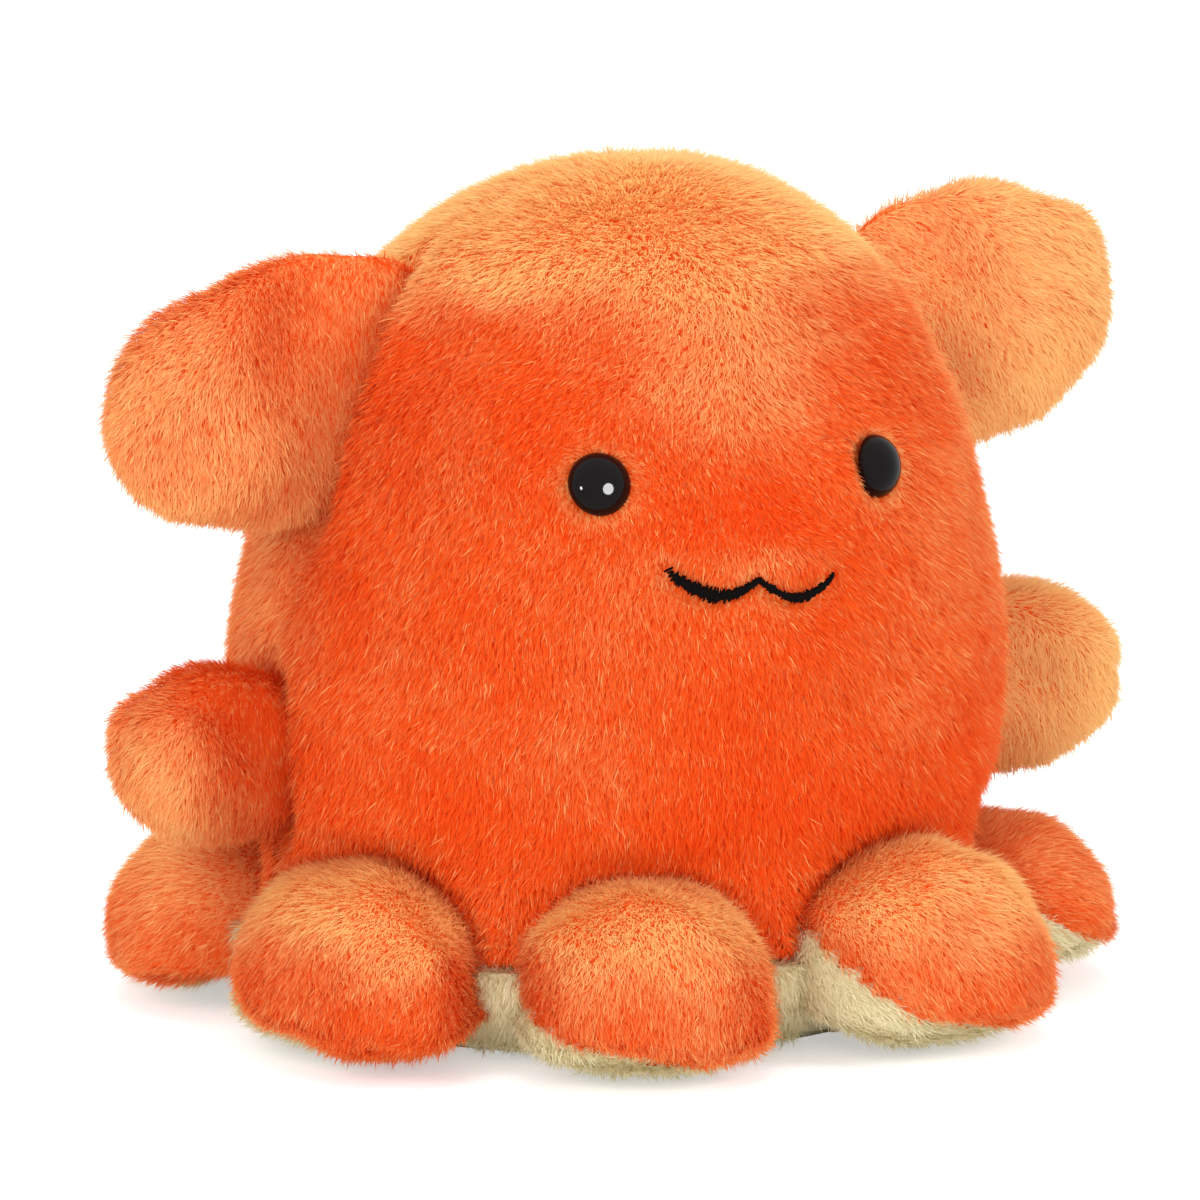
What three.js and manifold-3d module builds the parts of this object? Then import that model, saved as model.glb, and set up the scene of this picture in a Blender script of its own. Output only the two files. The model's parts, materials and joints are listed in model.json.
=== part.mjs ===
// A small bean-filled plush octopus: pear-shaped body, two fins, two raised side arms, a ring of floor arms.
// Sizes are in millimetres and angles in degrees. +Z is up, the floor is at zero and the face looks along -Y.
// Left and right are the octopus's own, so its left side is at +X.
import * as THREE from 'three';
import { mergeVertices } from 'three/addons/utils/BufferGeometryUtils.js';
import loadManifold from 'manifold-3d';

const wasm = await loadManifold();
wasm.setup();

// Fits between neighbouring pieces
const clearance = 0.3; // gap between two pieces that touch
const cutOverrun = 6; // how far a cutting solid runs past what it cuts
const seatDepth = 0.4; // how far a web's root keeps inside the faces of the panel that it grows from

// Body, outside sizes taken at the tips of the pile
const bodyWidth = 103; // across the side seams
const bodyDepth = 96; // from chest to back
const bodyHeight = 110;
const waistHeight = 45; // where the body is widest
const bodyTuck = 9; // how much narrower the body is at the base panel, on each side
const bodyLean = 5; // how far the crown leans forward
const bodyWall = 3.5; // backing cloth and pile together
const muzzleRise = 2.2; // how far the muzzle swells out of the face
const muzzleSpread = 12; // distance over which the swelling fades
const baseThickness = 3; // cream base panel
const pelletBagHeight = 18; // top of the pellet bag above the floor

// Face
const faceTurn = 5; // the face is set this far to the octopus's right of the middle between two floor arms
const eyeDrop = 35; // eyes below the crown
const eyeAngle = 27; // each eye round the head from the middle of the face
const eyeDiameter = 8.2;
const eyeRise = 3.3; // height of the dome above its flat back
const eyeSink = 1.2; // how far the flat back is pressed into the pile
const shankDiameter = 3;
const ribHeight = 0.4; // ribs on the shank stand out this far
const ribWidth = 0.5;
const ribCount = 2;
const washerDiameter = 11;
const washerThickness = 1.2;
const washerSink = 0.6; // how far the washer is pressed into the backing cloth
const mouthDrop = 11.5; // ends of the mouth below the eyes
const mouthWidth = 24;
const mouthSag = 2.7; // depth of each of the mouth's two arcs
const mouthPeakDrop = 0.9; // middle peak below the ends
const stitchThickness = 1.3;
const stitchProud = 0.2; // middle of the stitching above the pile tips
const patchMargin = 4; // stabiliser patch past the mouth, all round
const patchThickness = 0.6;

// Fins, sewn into the side seams
const earDrop = 26; // middle of the root below the crown
const earLength = 33.5; // from the seam to the tip
const earHeight = 34.5;
const earThickness = 17;
const earRootThickness = 7;
const earBury = 20; // how far the fin's rounded form runs on past the seam before it is trimmed to the body
const earWall = 2.4;
const earSquareness = 2.5; // 2 is an ellipsoid, more is fuller at the corners
const earDroop = { left: -9, right: 8 }; // tilt of each fin in its own plane, positive with the tip down
const earRest = { left: 7, right: 0 }; // how far each fin lies turned at rest, seen from above
const earFold = 45; // how far a fin folds to the front and to the back

// Raised side arms, sewn into the side seams
const sideArmLength = 21.5;
const sideArmHeight = 24;
const sideArmThickness = 22;
const sideArmRootThickness = 12;
const sideArmBury = 9;
const sideArmWall = 2.8;
const sideArmSquareness = 2.4;
const sideArmTilt = 5; // tip up
const sideArmSwing = 35; // how far a side arm swings to the front and to the back

// Floor arms, sewn round the foot of the body
const armCount = 8;
const armLength = 18.3; // from the body to the tip
const armTop = 24; // knuckle above the floor
const armWaist = 7; // height above the floor at which an arm is fullest
const armFullest = 2.5; // the fullest section lies this far outside the body
const armWall = 2.8;
const armSquareness = 2.2;
const soleGap = 0.4; // the soles clear the floor by this, so the base panel carries the weight
const seamRootHeight = 8.5; // seam between top cover and sole, at the body
const seamTipHeight = 2.5; // and at the tip
const seamTwist = 14; // the seam runs lower on the right of an arm that points at the viewer
const creaseDrop = 1.5; // crease in which an arm hinges, below the knuckle
const armRise = 35; // how far a floor arm lifts

// Web between neighbouring floor arms
const webWidth = 3; // at the body
const webReach = 12; // how far the web stands out of the body
const webArch = 8.5; // underside of the web's edge above the floor
const webEdge = 4.5; // cream part of the web's edge
const webBrow = 2.5; // orange part of the web's edge
const webTop = 22; // where the web runs out on the body

// Facets
const bodyFacets = 32;
const bodyArcSteps = 8;
const bodyFootSteps = 3;
const limbFacets = 16;
const limbRings = 8;
const armFacets = 16;
const armRings = 6;
const eyeFacets = 14;
const eyeArcSteps = 4;
const stitchSides = 6;
const stitchSteps = 8;
const webCurveSteps = 4;
const sweepSteps = 3;

const radians = THREE.MathUtils.degToRad;
const chestAngle = radians(-90);
const faceAngle = chestAngle - radians(faceTurn);
const armPitch = (2 * Math.PI) / armCount;
const bodyRadius = bodyWidth / 2;
const muzzleAside = bodyRadius * Math.cos(faceAngle);
const baseTop = baseThickness + clearance;
const eyeHeight = bodyHeight - eyeDrop;
const mouthTop = eyeHeight - mouthDrop;
const farAway = bodyWidth + bodyHeight; // longer than the octopus in any direction
const up = new THREE.Vector3(0, 0, 1);

// Solids and meshes

function windOutward(positions, index) {
  let volume = 0;
  const corners = [new THREE.Vector3(), new THREE.Vector3(), new THREE.Vector3()];
  for (let i = 0; i < index.length; i += 3) {
    corners.forEach((corner, k) => corner.fromArray(positions, 3 * index[i + k]));
    volume += corners[0].dot(corners[1].cross(corners[2]));
  }
  if (volume < 0) {
    for (let i = 0; i < index.length; i += 3) {
      [index[i + 1], index[i + 2]] = [index[i + 2], index[i + 1]];
    }
  }
}

function toSolid(geometry) {
  const bare = new THREE.BufferGeometry();
  bare.setAttribute('position', geometry.getAttribute('position').clone());
  if (geometry.index) bare.setIndex(geometry.index.clone());
  const merged = mergeVertices(bare);
  const vertProperties = new Float32Array(merged.getAttribute('position').array);
  const triangles = [];
  for (let i = 0; i < merged.index.count; i += 3) {
    const [a, b, c] = [merged.index.getX(i), merged.index.getX(i + 1), merged.index.getX(i + 2)];
    if (a !== b && b !== c && c !== a) triangles.push(a, b, c);
  }
  windOutward(vertProperties, triangles);
  const triVerts = new Uint32Array(triangles);
  return new wasm.Manifold(new wasm.Mesh({ numProp: 3, vertProperties, triVerts }));
}

function toGeometry(solid) {
  const mesh = solid.getMesh();
  const geometry = new THREE.BufferGeometry();
  geometry.setAttribute('position', new THREE.BufferAttribute(new Float32Array(mesh.vertProperties), 3));
  geometry.setIndex(new THREE.BufferAttribute(new Uint32Array(mesh.triVerts), 1));
  return geometry;
}

// A trim can leave crumbs beside the piece, so the piece is the largest body that is left.
function mainBody(solid) {
  return solid.decompose().reduce((largest, body) => (body.volume() > largest.volume() ? body : largest));
}

function cut(solid, ...tools) {
  return tools.reduce((rest, tool) => rest.subtract(tool), solid);
}

function addPiece(parent, name, solid, material) {
  const mesh = new THREE.Mesh(toGeometry(mainBody(solid)), material);
  mesh.name = name;
  parent.add(mesh);
}

// A block that fills everything on one side of a plane, for halving a form.
function halfSpace(point, direction) {
  const block = new THREE.BoxGeometry(2 * farAway, 2 * farAway, 2 * farAway);
  block.translate(0, 0, farAway);
  block.applyQuaternion(new THREE.Quaternion().setFromUnitVectors(up, direction.clone().normalize()));
  return block.translate(point.x, point.y, point.z);
}

function warp(geometry, move) {
  const positions = geometry.getAttribute('position');
  const point = new THREE.Vector3();
  for (let i = 0; i < positions.count; i += 1) {
    point.fromBufferAttribute(positions, i);
    move(point);
    positions.setXYZ(i, point.x, point.y, point.z);
  }
  return geometry;
}

// A ball pulled out to the given half sizes, fuller at the corners where squareness is over 2.
function plumpForm(halfSizes, squareness, facets, rings) {
  return warp(new THREE.SphereGeometry(1, facets, rings), (point) => {
    const sum = point.toArray().reduce((total, value) => total + Math.abs(value) ** squareness, 0);
    point.divideScalar(sum ** (1 / squareness)).multiply(halfSizes);
  });
}

// Body form

function leanAt(height) {
  return (bodyLean * height) / bodyHeight;
}

// The body's revolved outline, drawn in from the pile tips by inset, from the height of bottom to the crown.
function bodyOutline(inset, bottom) {
  const radius = bodyRadius - inset;
  const footRadius = radius - bodyTuck;
  const foot = new THREE.QuadraticBezierCurve(
    new THREE.Vector2(footRadius, baseTop),
    new THREE.Vector2(radius, (baseTop + waistHeight) / 2),
    new THREE.Vector2(radius, waistHeight),
  );
  const crownRise = bodyHeight - inset - waistHeight;
  const crown = new THREE.EllipseCurve(0, waistHeight, radius, crownRise, 0, Math.PI / 2);
  const outline = [new THREE.Vector2(0, bottom), new THREE.Vector2(footRadius, bottom)];
  if (bottom < baseTop) outline.push(new THREE.Vector2(footRadius, baseTop));
  foot.getPoints(bodyFootSteps).slice(1).forEach((point) => outline.push(point));
  crown.getPoints(bodyArcSteps).slice(1, -1).forEach((point) => outline.push(point));
  outline.push(new THREE.Vector2(0, bodyHeight - inset));
  return outline;
}

function bodyForm(inset, bottom) {
  const form = new THREE.LatheGeometry(bodyOutline(inset, bottom), bodyFacets);
  form.rotateX(Math.PI / 2);
  form.scale(1, bodyDepth / bodyWidth, 1);
  const muzzleHeight = mouthTop - mouthSag;
  return warp(form, (point) => {
    if (point.y < 0) {
      const away = Math.hypot(point.x - muzzleAside, point.z - muzzleHeight) / muzzleSpread;
      point.y -= muzzleRise * Math.exp(-away * away);
    }
    point.y -= leanAt(point.z);
  });
}

const bothSides = new THREE.MeshBasicMaterial({ side: THREE.DoubleSide });
const bodySkin = new THREE.Mesh(bodyForm(0, baseTop), bothSides); // only for finding points on the body
const raycaster = new THREE.Raycaster();

// The point of the body's surface in a direction at a height, seen from an upright line through middle.
function onBody(angle, height, middle = -leanAt(height)) {
  const outward = new THREE.Vector3(Math.cos(angle), Math.sin(angle), 0);
  const start = new THREE.Vector3(0, middle, height).addScaledVector(outward, farAway);
  raycaster.set(start, outward.clone().negate());
  return raycaster.intersectObject(bodySkin)[0].point;
}

// The way a surface point faces, from its neighbours one wall away above, below and to both sides.
function bodyNormal(angle, height) {
  const aside = bodyWall / bodyRadius;
  const around = onBody(angle + aside, height).sub(onBody(angle - aside, height));
  const rise = onBody(angle, height + bodyWall).sub(onBody(angle, height - bodyWall));
  return around.cross(rise).normalize();
}

// How far out the body's surface lies along a floor arm or web, which point straight away from the axis.
function bodyReach(angle, height) {
  const point = onBody(angle, height, 0);
  return Math.hypot(point.x, point.y);
}

const limbTrim = bodyForm(-clearance, -cutOverrun); // what every limb is trimmed by

// The body as the limb meets it when the limb has turned about its own hinge, which is its group's origin.
function trimsFor(group, hingeAxis, angles) {
  group.updateWorldMatrix(true, false);
  const toLimb = group.matrixWorld.clone().invert();
  return angles.map((angle) => {
    const turned = limbTrim.clone().applyMatrix4(toLimb);
    turned.applyMatrix4(new THREE.Matrix4().makeRotationAxis(hingeAxis, -radians(angle)));
    return toSolid(turned);
  });
}

// Finishes

const orangePlush = new THREE.MeshStandardMaterial({ color: 0xf0641e, roughness: 0.95, metalness: 0 });
const creamPlush = new THREE.MeshStandardMaterial({ color: 0xf3ebc0, roughness: 0.95, metalness: 0 });
const fibre = new THREE.MeshStandardMaterial({ color: 0xf4f4f0, roughness: 1, metalness: 0 });
const pelletCloth = new THREE.MeshStandardMaterial({ color: 0xe2ddd0, roughness: 0.9, metalness: 0 });
const blackGloss = new THREE.MeshStandardMaterial({ color: 0x0a0808, roughness: 0.06, metalness: 0 });
const whitePlastic = new THREE.MeshStandardMaterial({ color: 0xe8e8e6, roughness: 0.5, metalness: 0 });
const blackThread = new THREE.MeshStandardMaterial({ color: 0x14100f, roughness: 0.6, metalness: 0 });
const patchCloth = new THREE.MeshStandardMaterial({ color: 0xf7f7f5, roughness: 0.9, metalness: 0 });

const octopus = new THREE.Group();

// Floor arms

const armHinge = new THREE.Vector3(0, -1, 0); // lifts the tip
const creaseHeight = armTop - creaseDrop;

// An arm's plump form about its hinge, drawn in by inset and flat underneath.
function armForm(reach, inset) {
  const halfWidth = reach * Math.tan(armPitch / 2) - webWidth / 2 - inset;
  const halfSizes = new THREE.Vector3(armLength - armFullest - inset, armTop - armWaist - inset, halfWidth);
  const form = plumpForm(halfSizes, armSquareness, armFacets, armRings);
  form.rotateX(Math.PI / 2);
  form.translate(armFullest, 0, armWaist - creaseHeight);
  const underside = halfSpace(new THREE.Vector3(0, 0, soleGap + inset - creaseHeight), up.clone().negate());
  return cut(toSolid(form), toSolid(underside));
}

// What lies beyond the seam between top cover and sole, on the upper side (1) or the lower side (-1).
function beyondSeam(side) {
  const slope = Math.atan2(seamRootHeight - seamTipHeight, armLength);
  const facing = new THREE.Vector3(Math.sin(slope), 0, Math.cos(slope));
  facing.applyAxisAngle(new THREE.Vector3(1, 0, 0), -radians(seamTwist)).multiplyScalar(side);
  const seam = new THREE.Vector3(0, 0, seamRootHeight - creaseHeight).addScaledVector(facing, -clearance / 2);
  return toSolid(halfSpace(seam, facing));
}

function makeFloorArm(number) {
  const angle = chestAngle + (number - 0.5) * armPitch;
  const reach = bodyReach(angle, creaseHeight);
  const direction = new THREE.Group();
  const arm = new THREE.Group();
  direction.rotation.z = angle;
  arm.position.set(reach, 0, creaseHeight);
  direction.add(arm);
  octopus.add(direction);
  const trims = trimsFor(arm, armHinge, [0, armRise]);
  const shell = cut(armForm(reach, 0), ...trims, armForm(reach, armWall));
  addPiece(arm, `floor_arm_${number}_cover`, cut(shell, beyondSeam(-1)), orangePlush);
  addPiece(arm, `floor_arm_${number}_sole`, cut(shell, beyondSeam(1)), creamPlush);
  addPiece(arm, `floor_arm_${number}_filling`, cut(armForm(reach, armWall + clearance), ...trims), fibre);
  return { arm, reach };
}

const arms = Array.from({ length: armCount }, (_, i) => makeFloorArm(i + 1));

// Fins and side arms

const paddleHinge = new THREE.Vector3(0, 0, 1); // along the seam, folds the limb to the front and to the back

// A flat plump form that stands out of the seam at the origin, pinched where it is sewn in.
function paddleForm(size, lift, inset) {
  const halfSizes = new THREE.Vector3((size.length + size.bury) / 2, size.thickness / 2, size.height / 2);
  const middle = (size.length - size.bury) / 2;
  const form = plumpForm(halfSizes.subScalar(inset), size.squareness, limbFacets, limbRings);
  form.translate(middle, 0, 0);
  warp(form, (point) => {
    const open = THREE.MathUtils.smoothstep(point.x, 0, middle + size.thickness / 2);
    point.y *= THREE.MathUtils.lerp(size.rootThickness / size.thickness, 1, open);
  });
  form.rotateY(-lift);
  return toSolid(form);
}

// Side is 1 for the octopus's left and -1 for its right. Lift tips the limb up from level, and rest turns it
// about its hinge.
function makePaddle(name, side, height, size, lift, rest, fold) {
  const seamAngle = side > 0 ? 0 : Math.PI;
  const direction = new THREE.Group();
  const limb = new THREE.Group();
  const root = onBody(seamAngle, height);
  const above = onBody(seamAngle, height + size.height / 4);
  const below = onBody(seamAngle, height - size.height / 4);
  const seamTilt = Math.atan2(side * (below.x - above.x), above.z - below.z);
  direction.rotation.z = seamAngle;
  direction.position.y = root.y;
  limb.position.set(Math.abs(root.x), 0, height);
  limb.rotation.set(0, -seamTilt, rest);
  direction.add(limb);
  octopus.add(direction);
  const trims = trimsFor(limb, paddleHinge, [0, fold, -fold]);
  const tipUp = lift - seamTilt;
  const shell = cut(paddleForm(size, tipUp, 0), ...trims, paddleForm(size, tipUp, size.wall));
  const halves = { front: -side, back: side };
  Object.entries(halves).forEach(([half, way]) => {
    const outward = new THREE.Vector3(0, -way, 0);
    const otherHalf = halfSpace(outward.clone().multiplyScalar(-clearance / 2), outward);
    addPiece(limb, `${name}_${half}_panel`, cut(shell, toSolid(otherHalf)), orangePlush);
  });
  const filling = cut(paddleForm(size, tipUp, size.wall + clearance), ...trims);
  addPiece(limb, `${name}_filling`, filling, fibre);
  return limb;
}

const earSize = {
  length: earLength,
  bury: earBury,
  height: earHeight,
  thickness: earThickness,
  rootThickness: earRootThickness,
  wall: earWall,
  squareness: earSquareness,
};
const sideArmSize = {
  length: sideArmLength,
  bury: sideArmBury,
  height: sideArmHeight,
  thickness: sideArmThickness,
  rootThickness: sideArmRootThickness,
  wall: sideArmWall,
  squareness: sideArmSquareness,
};
const sideArmMiddle = armTop + sideArmHeight / 2; // just clears the floor arms

Object.entries({ left: 1, right: -1 }).forEach(([sideName, side]) => {
  const earLift = -radians(earDroop[sideName]);
  const earTurn = radians(earRest[sideName]);
  makePaddle(`${sideName}_ear`, side, bodyHeight - earDrop, earSize, earLift, earTurn, earFold);
  makePaddle(`${sideName}_arm`, side, sideArmMiddle, sideArmSize, radians(sideArmTilt), 0, sideArmSwing);
});

// Webs between neighbouring floor arms

// A radial slice across the width between two arms, from an outline of distance from the axis against height.
function webSlice(angle, outline) {
  const depth = armPitch * bodyRadius;
  const settings = { depth, bevelEnabled: false, curveSegments: webCurveSteps };
  const slice = new THREE.ExtrudeGeometry(outline, settings);
  slice.translate(0, 0, -depth / 2);
  slice.rotateX(Math.PI / 2);
  slice.rotateZ(angle);
  return toSolid(slice);
}

// The space that the two arms beside a web sweep as they lift.
function armSweep(neighbours) {
  const lifts = Array.from({ length: sweepSteps + 1 }, (_, i) => (armRise * i) / sweepSteps);
  return neighbours.flatMap(({ arm, reach }) =>
    lifts.map((lift) => {
      const turn = new THREE.Matrix4().makeRotationAxis(armHinge, radians(lift));
      const form = toGeometry(armForm(reach, -clearance));
      return toSolid(form.applyMatrix4(turn).applyMatrix4(arm.matrixWorld));
    }),
  );
}

const orangeWebs = [];
const creamWebs = [];
arms.forEach((arm, i) => {
  const angle = chestAngle + i * armPitch;
  const foot = bodyReach(angle, baseTop + clearance);
  const edge = foot + webReach;
  const inner = foot - cutOverrun;
  const lip = webArch + webEdge;
  const cream = new THREE.Shape();
  cream.moveTo(inner, seatDepth);
  cream.lineTo(foot, seatDepth);
  cream.quadraticCurveTo(foot + webReach / 2, seatDepth, edge, webArch);
  cream.lineTo(edge, lip);
  cream.quadraticCurveTo(foot + webReach / 2, baseThickness, foot, baseThickness - seatDepth);
  cream.lineTo(inner, baseThickness - seatDepth);
  const orange = new THREE.Shape();
  const brow = bodyReach(angle, webTop);
  orange.moveTo(inner, baseTop + seatDepth);
  orange.lineTo(foot, baseTop + seatDepth);
  orange.quadraticCurveTo(foot + webReach / 2, baseTop + seatDepth, edge, lip + clearance);
  orange.quadraticCurveTo(edge, lip + webBrow, edge - webBrow, lip + webBrow);
  orange.quadraticCurveTo(brow, lip + webBrow, brow - clearance, webTop);
  orange.lineTo(inner, webTop);
  const sweep = armSweep([arm, arms[(i + armCount - 1) % armCount]]);
  creamWebs.push(mainBody(cut(webSlice(angle, cream), ...sweep)));
  orangeWebs.push(mainBody(cut(webSlice(angle, orange), ...sweep)));
});

// Base panel

const baseRadius = bodyRadius - bodyTuck;
const baseOutline = new THREE.Shape();
baseOutline.absellipse(0, 0, baseRadius, (baseRadius * bodyDepth) / bodyWidth, 0, 2 * Math.PI);
const basePlate = new THREE.ExtrudeGeometry(baseOutline, {
  depth: baseThickness,
  bevelEnabled: false,
  curveSegments: bodyFacets / 2,
});
const base = creamWebs.reduce((whole, web) => whole.add(web), toSolid(basePlate));

// Eyes, each a dome on a ribbed shank, and the washers pushed onto the shanks inside the body

const eyeRadius = eyeDiameter / 2;
const shankRadius = shankDiameter / 2;
const ribRadius = shankRadius + ribHeight;
const washerRadius = washerDiameter / 2;
const washerTop = eyeSink + washerSink - bodyWall;
const washerBottom = washerTop - washerThickness;
const shankEnd = washerBottom - clearance - (2 * ribCount + 1) * ribWidth;

// Revolves an outline of radius against distance out of the eye's flat back.
function revolved(outline) {
  const points = outline.map(([radius, out]) => new THREE.Vector2(radius, out));
  return new THREE.LatheGeometry(points, eyeFacets).rotateX(Math.PI / 2);
}

function eyeOutline() {
  const outline = [[0, shankEnd], [shankRadius, shankEnd]];
  for (let rib = 0; rib < ribCount; rib += 1) {
    const ribStart = shankEnd + (2 * rib + 1) * ribWidth;
    outline.push([shankRadius, ribStart], [ribRadius, ribStart]);
    outline.push([ribRadius, ribStart + ribWidth], [shankRadius, ribStart + ribWidth]);
  }
  outline.push([shankRadius, 0]);
  const dome = new THREE.EllipseCurve(0, 0, eyeRadius, eyeRise, 0, Math.PI / 2);
  dome.getPoints(eyeArcSteps).slice(0, -1).forEach((point) => outline.push([point.x, point.y]));
  outline.push([0, eyeRise]);
  return outline;
}

const washerOutline = [
  [shankRadius + clearance, washerBottom],
  [washerRadius, washerBottom],
  [washerRadius, washerTop],
  [shankRadius + clearance, washerTop],
  [shankRadius + clearance, washerBottom],
];
const eyePocketOutline = [
  [0, shankEnd - clearance],
  [ribRadius + clearance, shankEnd - clearance],
  [ribRadius + clearance, washerBottom - clearance],
  [washerRadius + clearance, washerBottom - clearance],
  [washerRadius + clearance, washerTop + clearance],
  [shankRadius + clearance, washerTop + clearance],
  [shankRadius + clearance, -clearance],
  [eyeRadius + clearance, -clearance],
  [eyeRadius + clearance, eyeRise + clearance],
  [0, eyeRise + clearance],
];

const eyePockets = Object.entries({ left: 1, right: -1 }).map(([sideName, side]) => {
  const angle = faceAngle + side * radians(eyeAngle);
  const outward = bodyNormal(angle, eyeHeight);
  const eye = new THREE.Group();
  eye.quaternion.setFromUnitVectors(up, outward);
  eye.position.copy(onBody(angle, eyeHeight)).addScaledVector(outward, -eyeSink);
  octopus.add(eye);
  eye.updateWorldMatrix(true, false);
  addPiece(eye, `${sideName}_eye`, toSolid(revolved(eyeOutline())), blackGloss);
  addPiece(eye, `${sideName}_eye_washer`, toSolid(revolved(washerOutline)), whitePlastic);
  return toSolid(revolved(eyePocketOutline).applyMatrix4(eye.matrixWorld));
});

// Mouth, two arcs of satin stitch that meet in a peak

const mouthHalfAngle = mouthWidth / 2 / bodyReach(faceAngle, mouthTop);

// The stitching as a round cord with the given radius, from one end of the mouth over the peak to the other.
function mouthForm(radius) {
  const section = new THREE.Shape().absarc(0, 0, radius, 0, 2 * Math.PI);
  const points = Array.from({ length: 2 * stitchSteps + 1 }, (_, i) => {
    const along = i / stitchSteps - 1;
    const out = Math.abs(along);
    const angle = faceAngle + along * mouthHalfAngle;
    const height = mouthTop - mouthPeakDrop * (1 - out) - mouthSag * Math.sin(Math.PI * out);
    return onBody(angle, height).addScaledVector(bodyNormal(angle, height), stitchProud);
  });
  const cord = new THREE.ExtrudeGeometry(section, {
    steps: 2 * stitchSteps,
    curveSegments: stitchSides / 2,
    bevelEnabled: false,
    extrudePath: new THREE.CatmullRomCurve3(points),
  });
  return toSolid(cord);
}

addPiece(octopus, 'mouth_stitching', mouthForm(stitchThickness / 2), blackThread);
const mouthGroove = mouthForm(stitchThickness / 2 + clearance);

// Stabiliser patch behind the mouth, against the inside of the front panel

function patchBlock(margin) {
  const top = mouthTop + margin;
  const bottom = mouthTop - mouthPeakDrop - mouthSag - margin;
  const block = new THREE.BoxGeometry(mouthWidth + 2 * margin, bodyDepth, top - bottom);
  block.translate(muzzleAside, -bodyDepth / 2, (top + bottom) / 2);
  return toSolid(block);
}

const bodyInside = toSolid(bodyForm(bodyWall, -cutOverrun));
const fillingForm = toSolid(bodyForm(bodyWall + clearance, baseTop));
const behindPatch = toSolid(bodyForm(bodyWall + clearance + patchThickness, -cutOverrun));
const behindPatchPocket = toSolid(bodyForm(bodyWall + 2 * clearance + patchThickness, -cutOverrun));
const patch = cut(fillingForm.intersect(patchBlock(patchMargin)), behindPatch);
addPiece(octopus, 'mouth_patch', cut(patch, ...eyePockets), patchCloth);

// Body cover in two panels, sewn together up both sides

const seamFacing = new THREE.Vector3(0, bodyHeight, bodyLean).normalize(); // the seam leans with the body
const coverOutside = orangeWebs.reduce((whole, web) => whole.add(web), toSolid(bodyForm(0, baseTop)));
const cover = cut(coverOutside, bodyInside, ...eyePockets, mouthGroove);
Object.entries({ front: -1, back: 1 }).forEach(([half, way]) => {
  const outward = seamFacing.clone().multiplyScalar(-way);
  const otherHalf = halfSpace(outward.clone().multiplyScalar(-clearance / 2), outward);
  addPiece(octopus, `body_${half}_panel`, cut(cover, toSolid(otherHalf)), orangePlush);
});
addPiece(octopus, 'base_panel', base, creamPlush);

// Inside the body: the pellet bag below and fibre filling above it

const pelletLevel = new THREE.Vector3(0, 0, pelletBagHeight);
const fillingLevel = new THREE.Vector3(0, 0, pelletBagHeight + clearance);
addPiece(octopus, 'pellet_bag', cut(fillingForm, toSolid(halfSpace(pelletLevel, up))), pelletCloth);
const patchPocket = cut(patchBlock(patchMargin + clearance), behindPatchPocket);
const belowFilling = toSolid(halfSpace(fillingLevel, up.clone().negate()));
addPiece(octopus, 'body_filling', cut(fillingForm, belowFilling, patchPocket, ...eyePockets), fibre);

export default octopus;
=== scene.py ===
import json
import math

import bpy
import numpy as np
from mathutils import Matrix, Vector


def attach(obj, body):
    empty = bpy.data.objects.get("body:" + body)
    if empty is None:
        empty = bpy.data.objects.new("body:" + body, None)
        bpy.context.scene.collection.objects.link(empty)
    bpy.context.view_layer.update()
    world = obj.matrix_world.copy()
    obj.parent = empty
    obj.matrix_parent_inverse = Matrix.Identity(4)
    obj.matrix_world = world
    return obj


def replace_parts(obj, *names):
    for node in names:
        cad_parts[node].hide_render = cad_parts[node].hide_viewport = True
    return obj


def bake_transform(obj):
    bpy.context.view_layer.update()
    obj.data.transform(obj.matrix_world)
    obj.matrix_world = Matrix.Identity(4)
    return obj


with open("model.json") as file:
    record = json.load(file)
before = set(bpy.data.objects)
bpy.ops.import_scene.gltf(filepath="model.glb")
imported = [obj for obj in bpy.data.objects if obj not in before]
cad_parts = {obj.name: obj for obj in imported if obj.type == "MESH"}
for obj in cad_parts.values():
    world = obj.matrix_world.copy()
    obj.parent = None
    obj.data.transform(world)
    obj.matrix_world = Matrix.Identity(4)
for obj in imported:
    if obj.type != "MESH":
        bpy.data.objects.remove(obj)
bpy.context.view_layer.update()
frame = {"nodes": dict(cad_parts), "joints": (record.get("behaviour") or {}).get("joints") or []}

metresPerMm = 0.001
chestAngle = math.radians(-90)
faceAngle = chestAngle - math.radians(5)  # the face is set a little to the octopus's right

camera = {
    "yaw": 27.0,
    "elevation": 11.0,
    "distance": 1400.0,
    "mmPerPixel": 0.131,
    "framePixels": 1200,
    "groundX": 612,  # pixel of the floor point under the middle of the body
    "groundY": 984,
}

body = {
    "width": 103.0,
    "depth": 96.0,
    "height": 110.0,
    "waist": 45.0,
    "tuck": 9.0,
    "foot": 3.3,
    "lean": 5.0,
    "muzzleRise": 2.2,
    "muzzleSpread": 12.0,
    "eyeHeight": 75.0,
    "crownFill": (0.9, 92, 108),  # the stuffing lifts the crown: by how much, from which height up to which
    "shoulderFill": (1.3, 97, 8),  # and the shoulders: by how much, round which height, how far up and down
    "flankDraw": (-1.3, 66, 15),
    # between the floor arms the skirt flares out into a web: height against distance past the body
    "flare": [(12.2, 0.0), (12.5, 5.4), (13.4, 6.9), (15.0, 6.4), (17.0, 4.6), (19.0, 3.2), (22.0, 1.3),
              (26.0, 0.0)],
    "lipRings": [11.9, 12.2, 12.35, 12.5, 12.9, 13.4, 14.0],  # extra heights where the flare turns sharply
    "columns": 200,
    "crownRings": 56,
    "skirtRings": 40,
    "bottomRings": 5,
}

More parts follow.
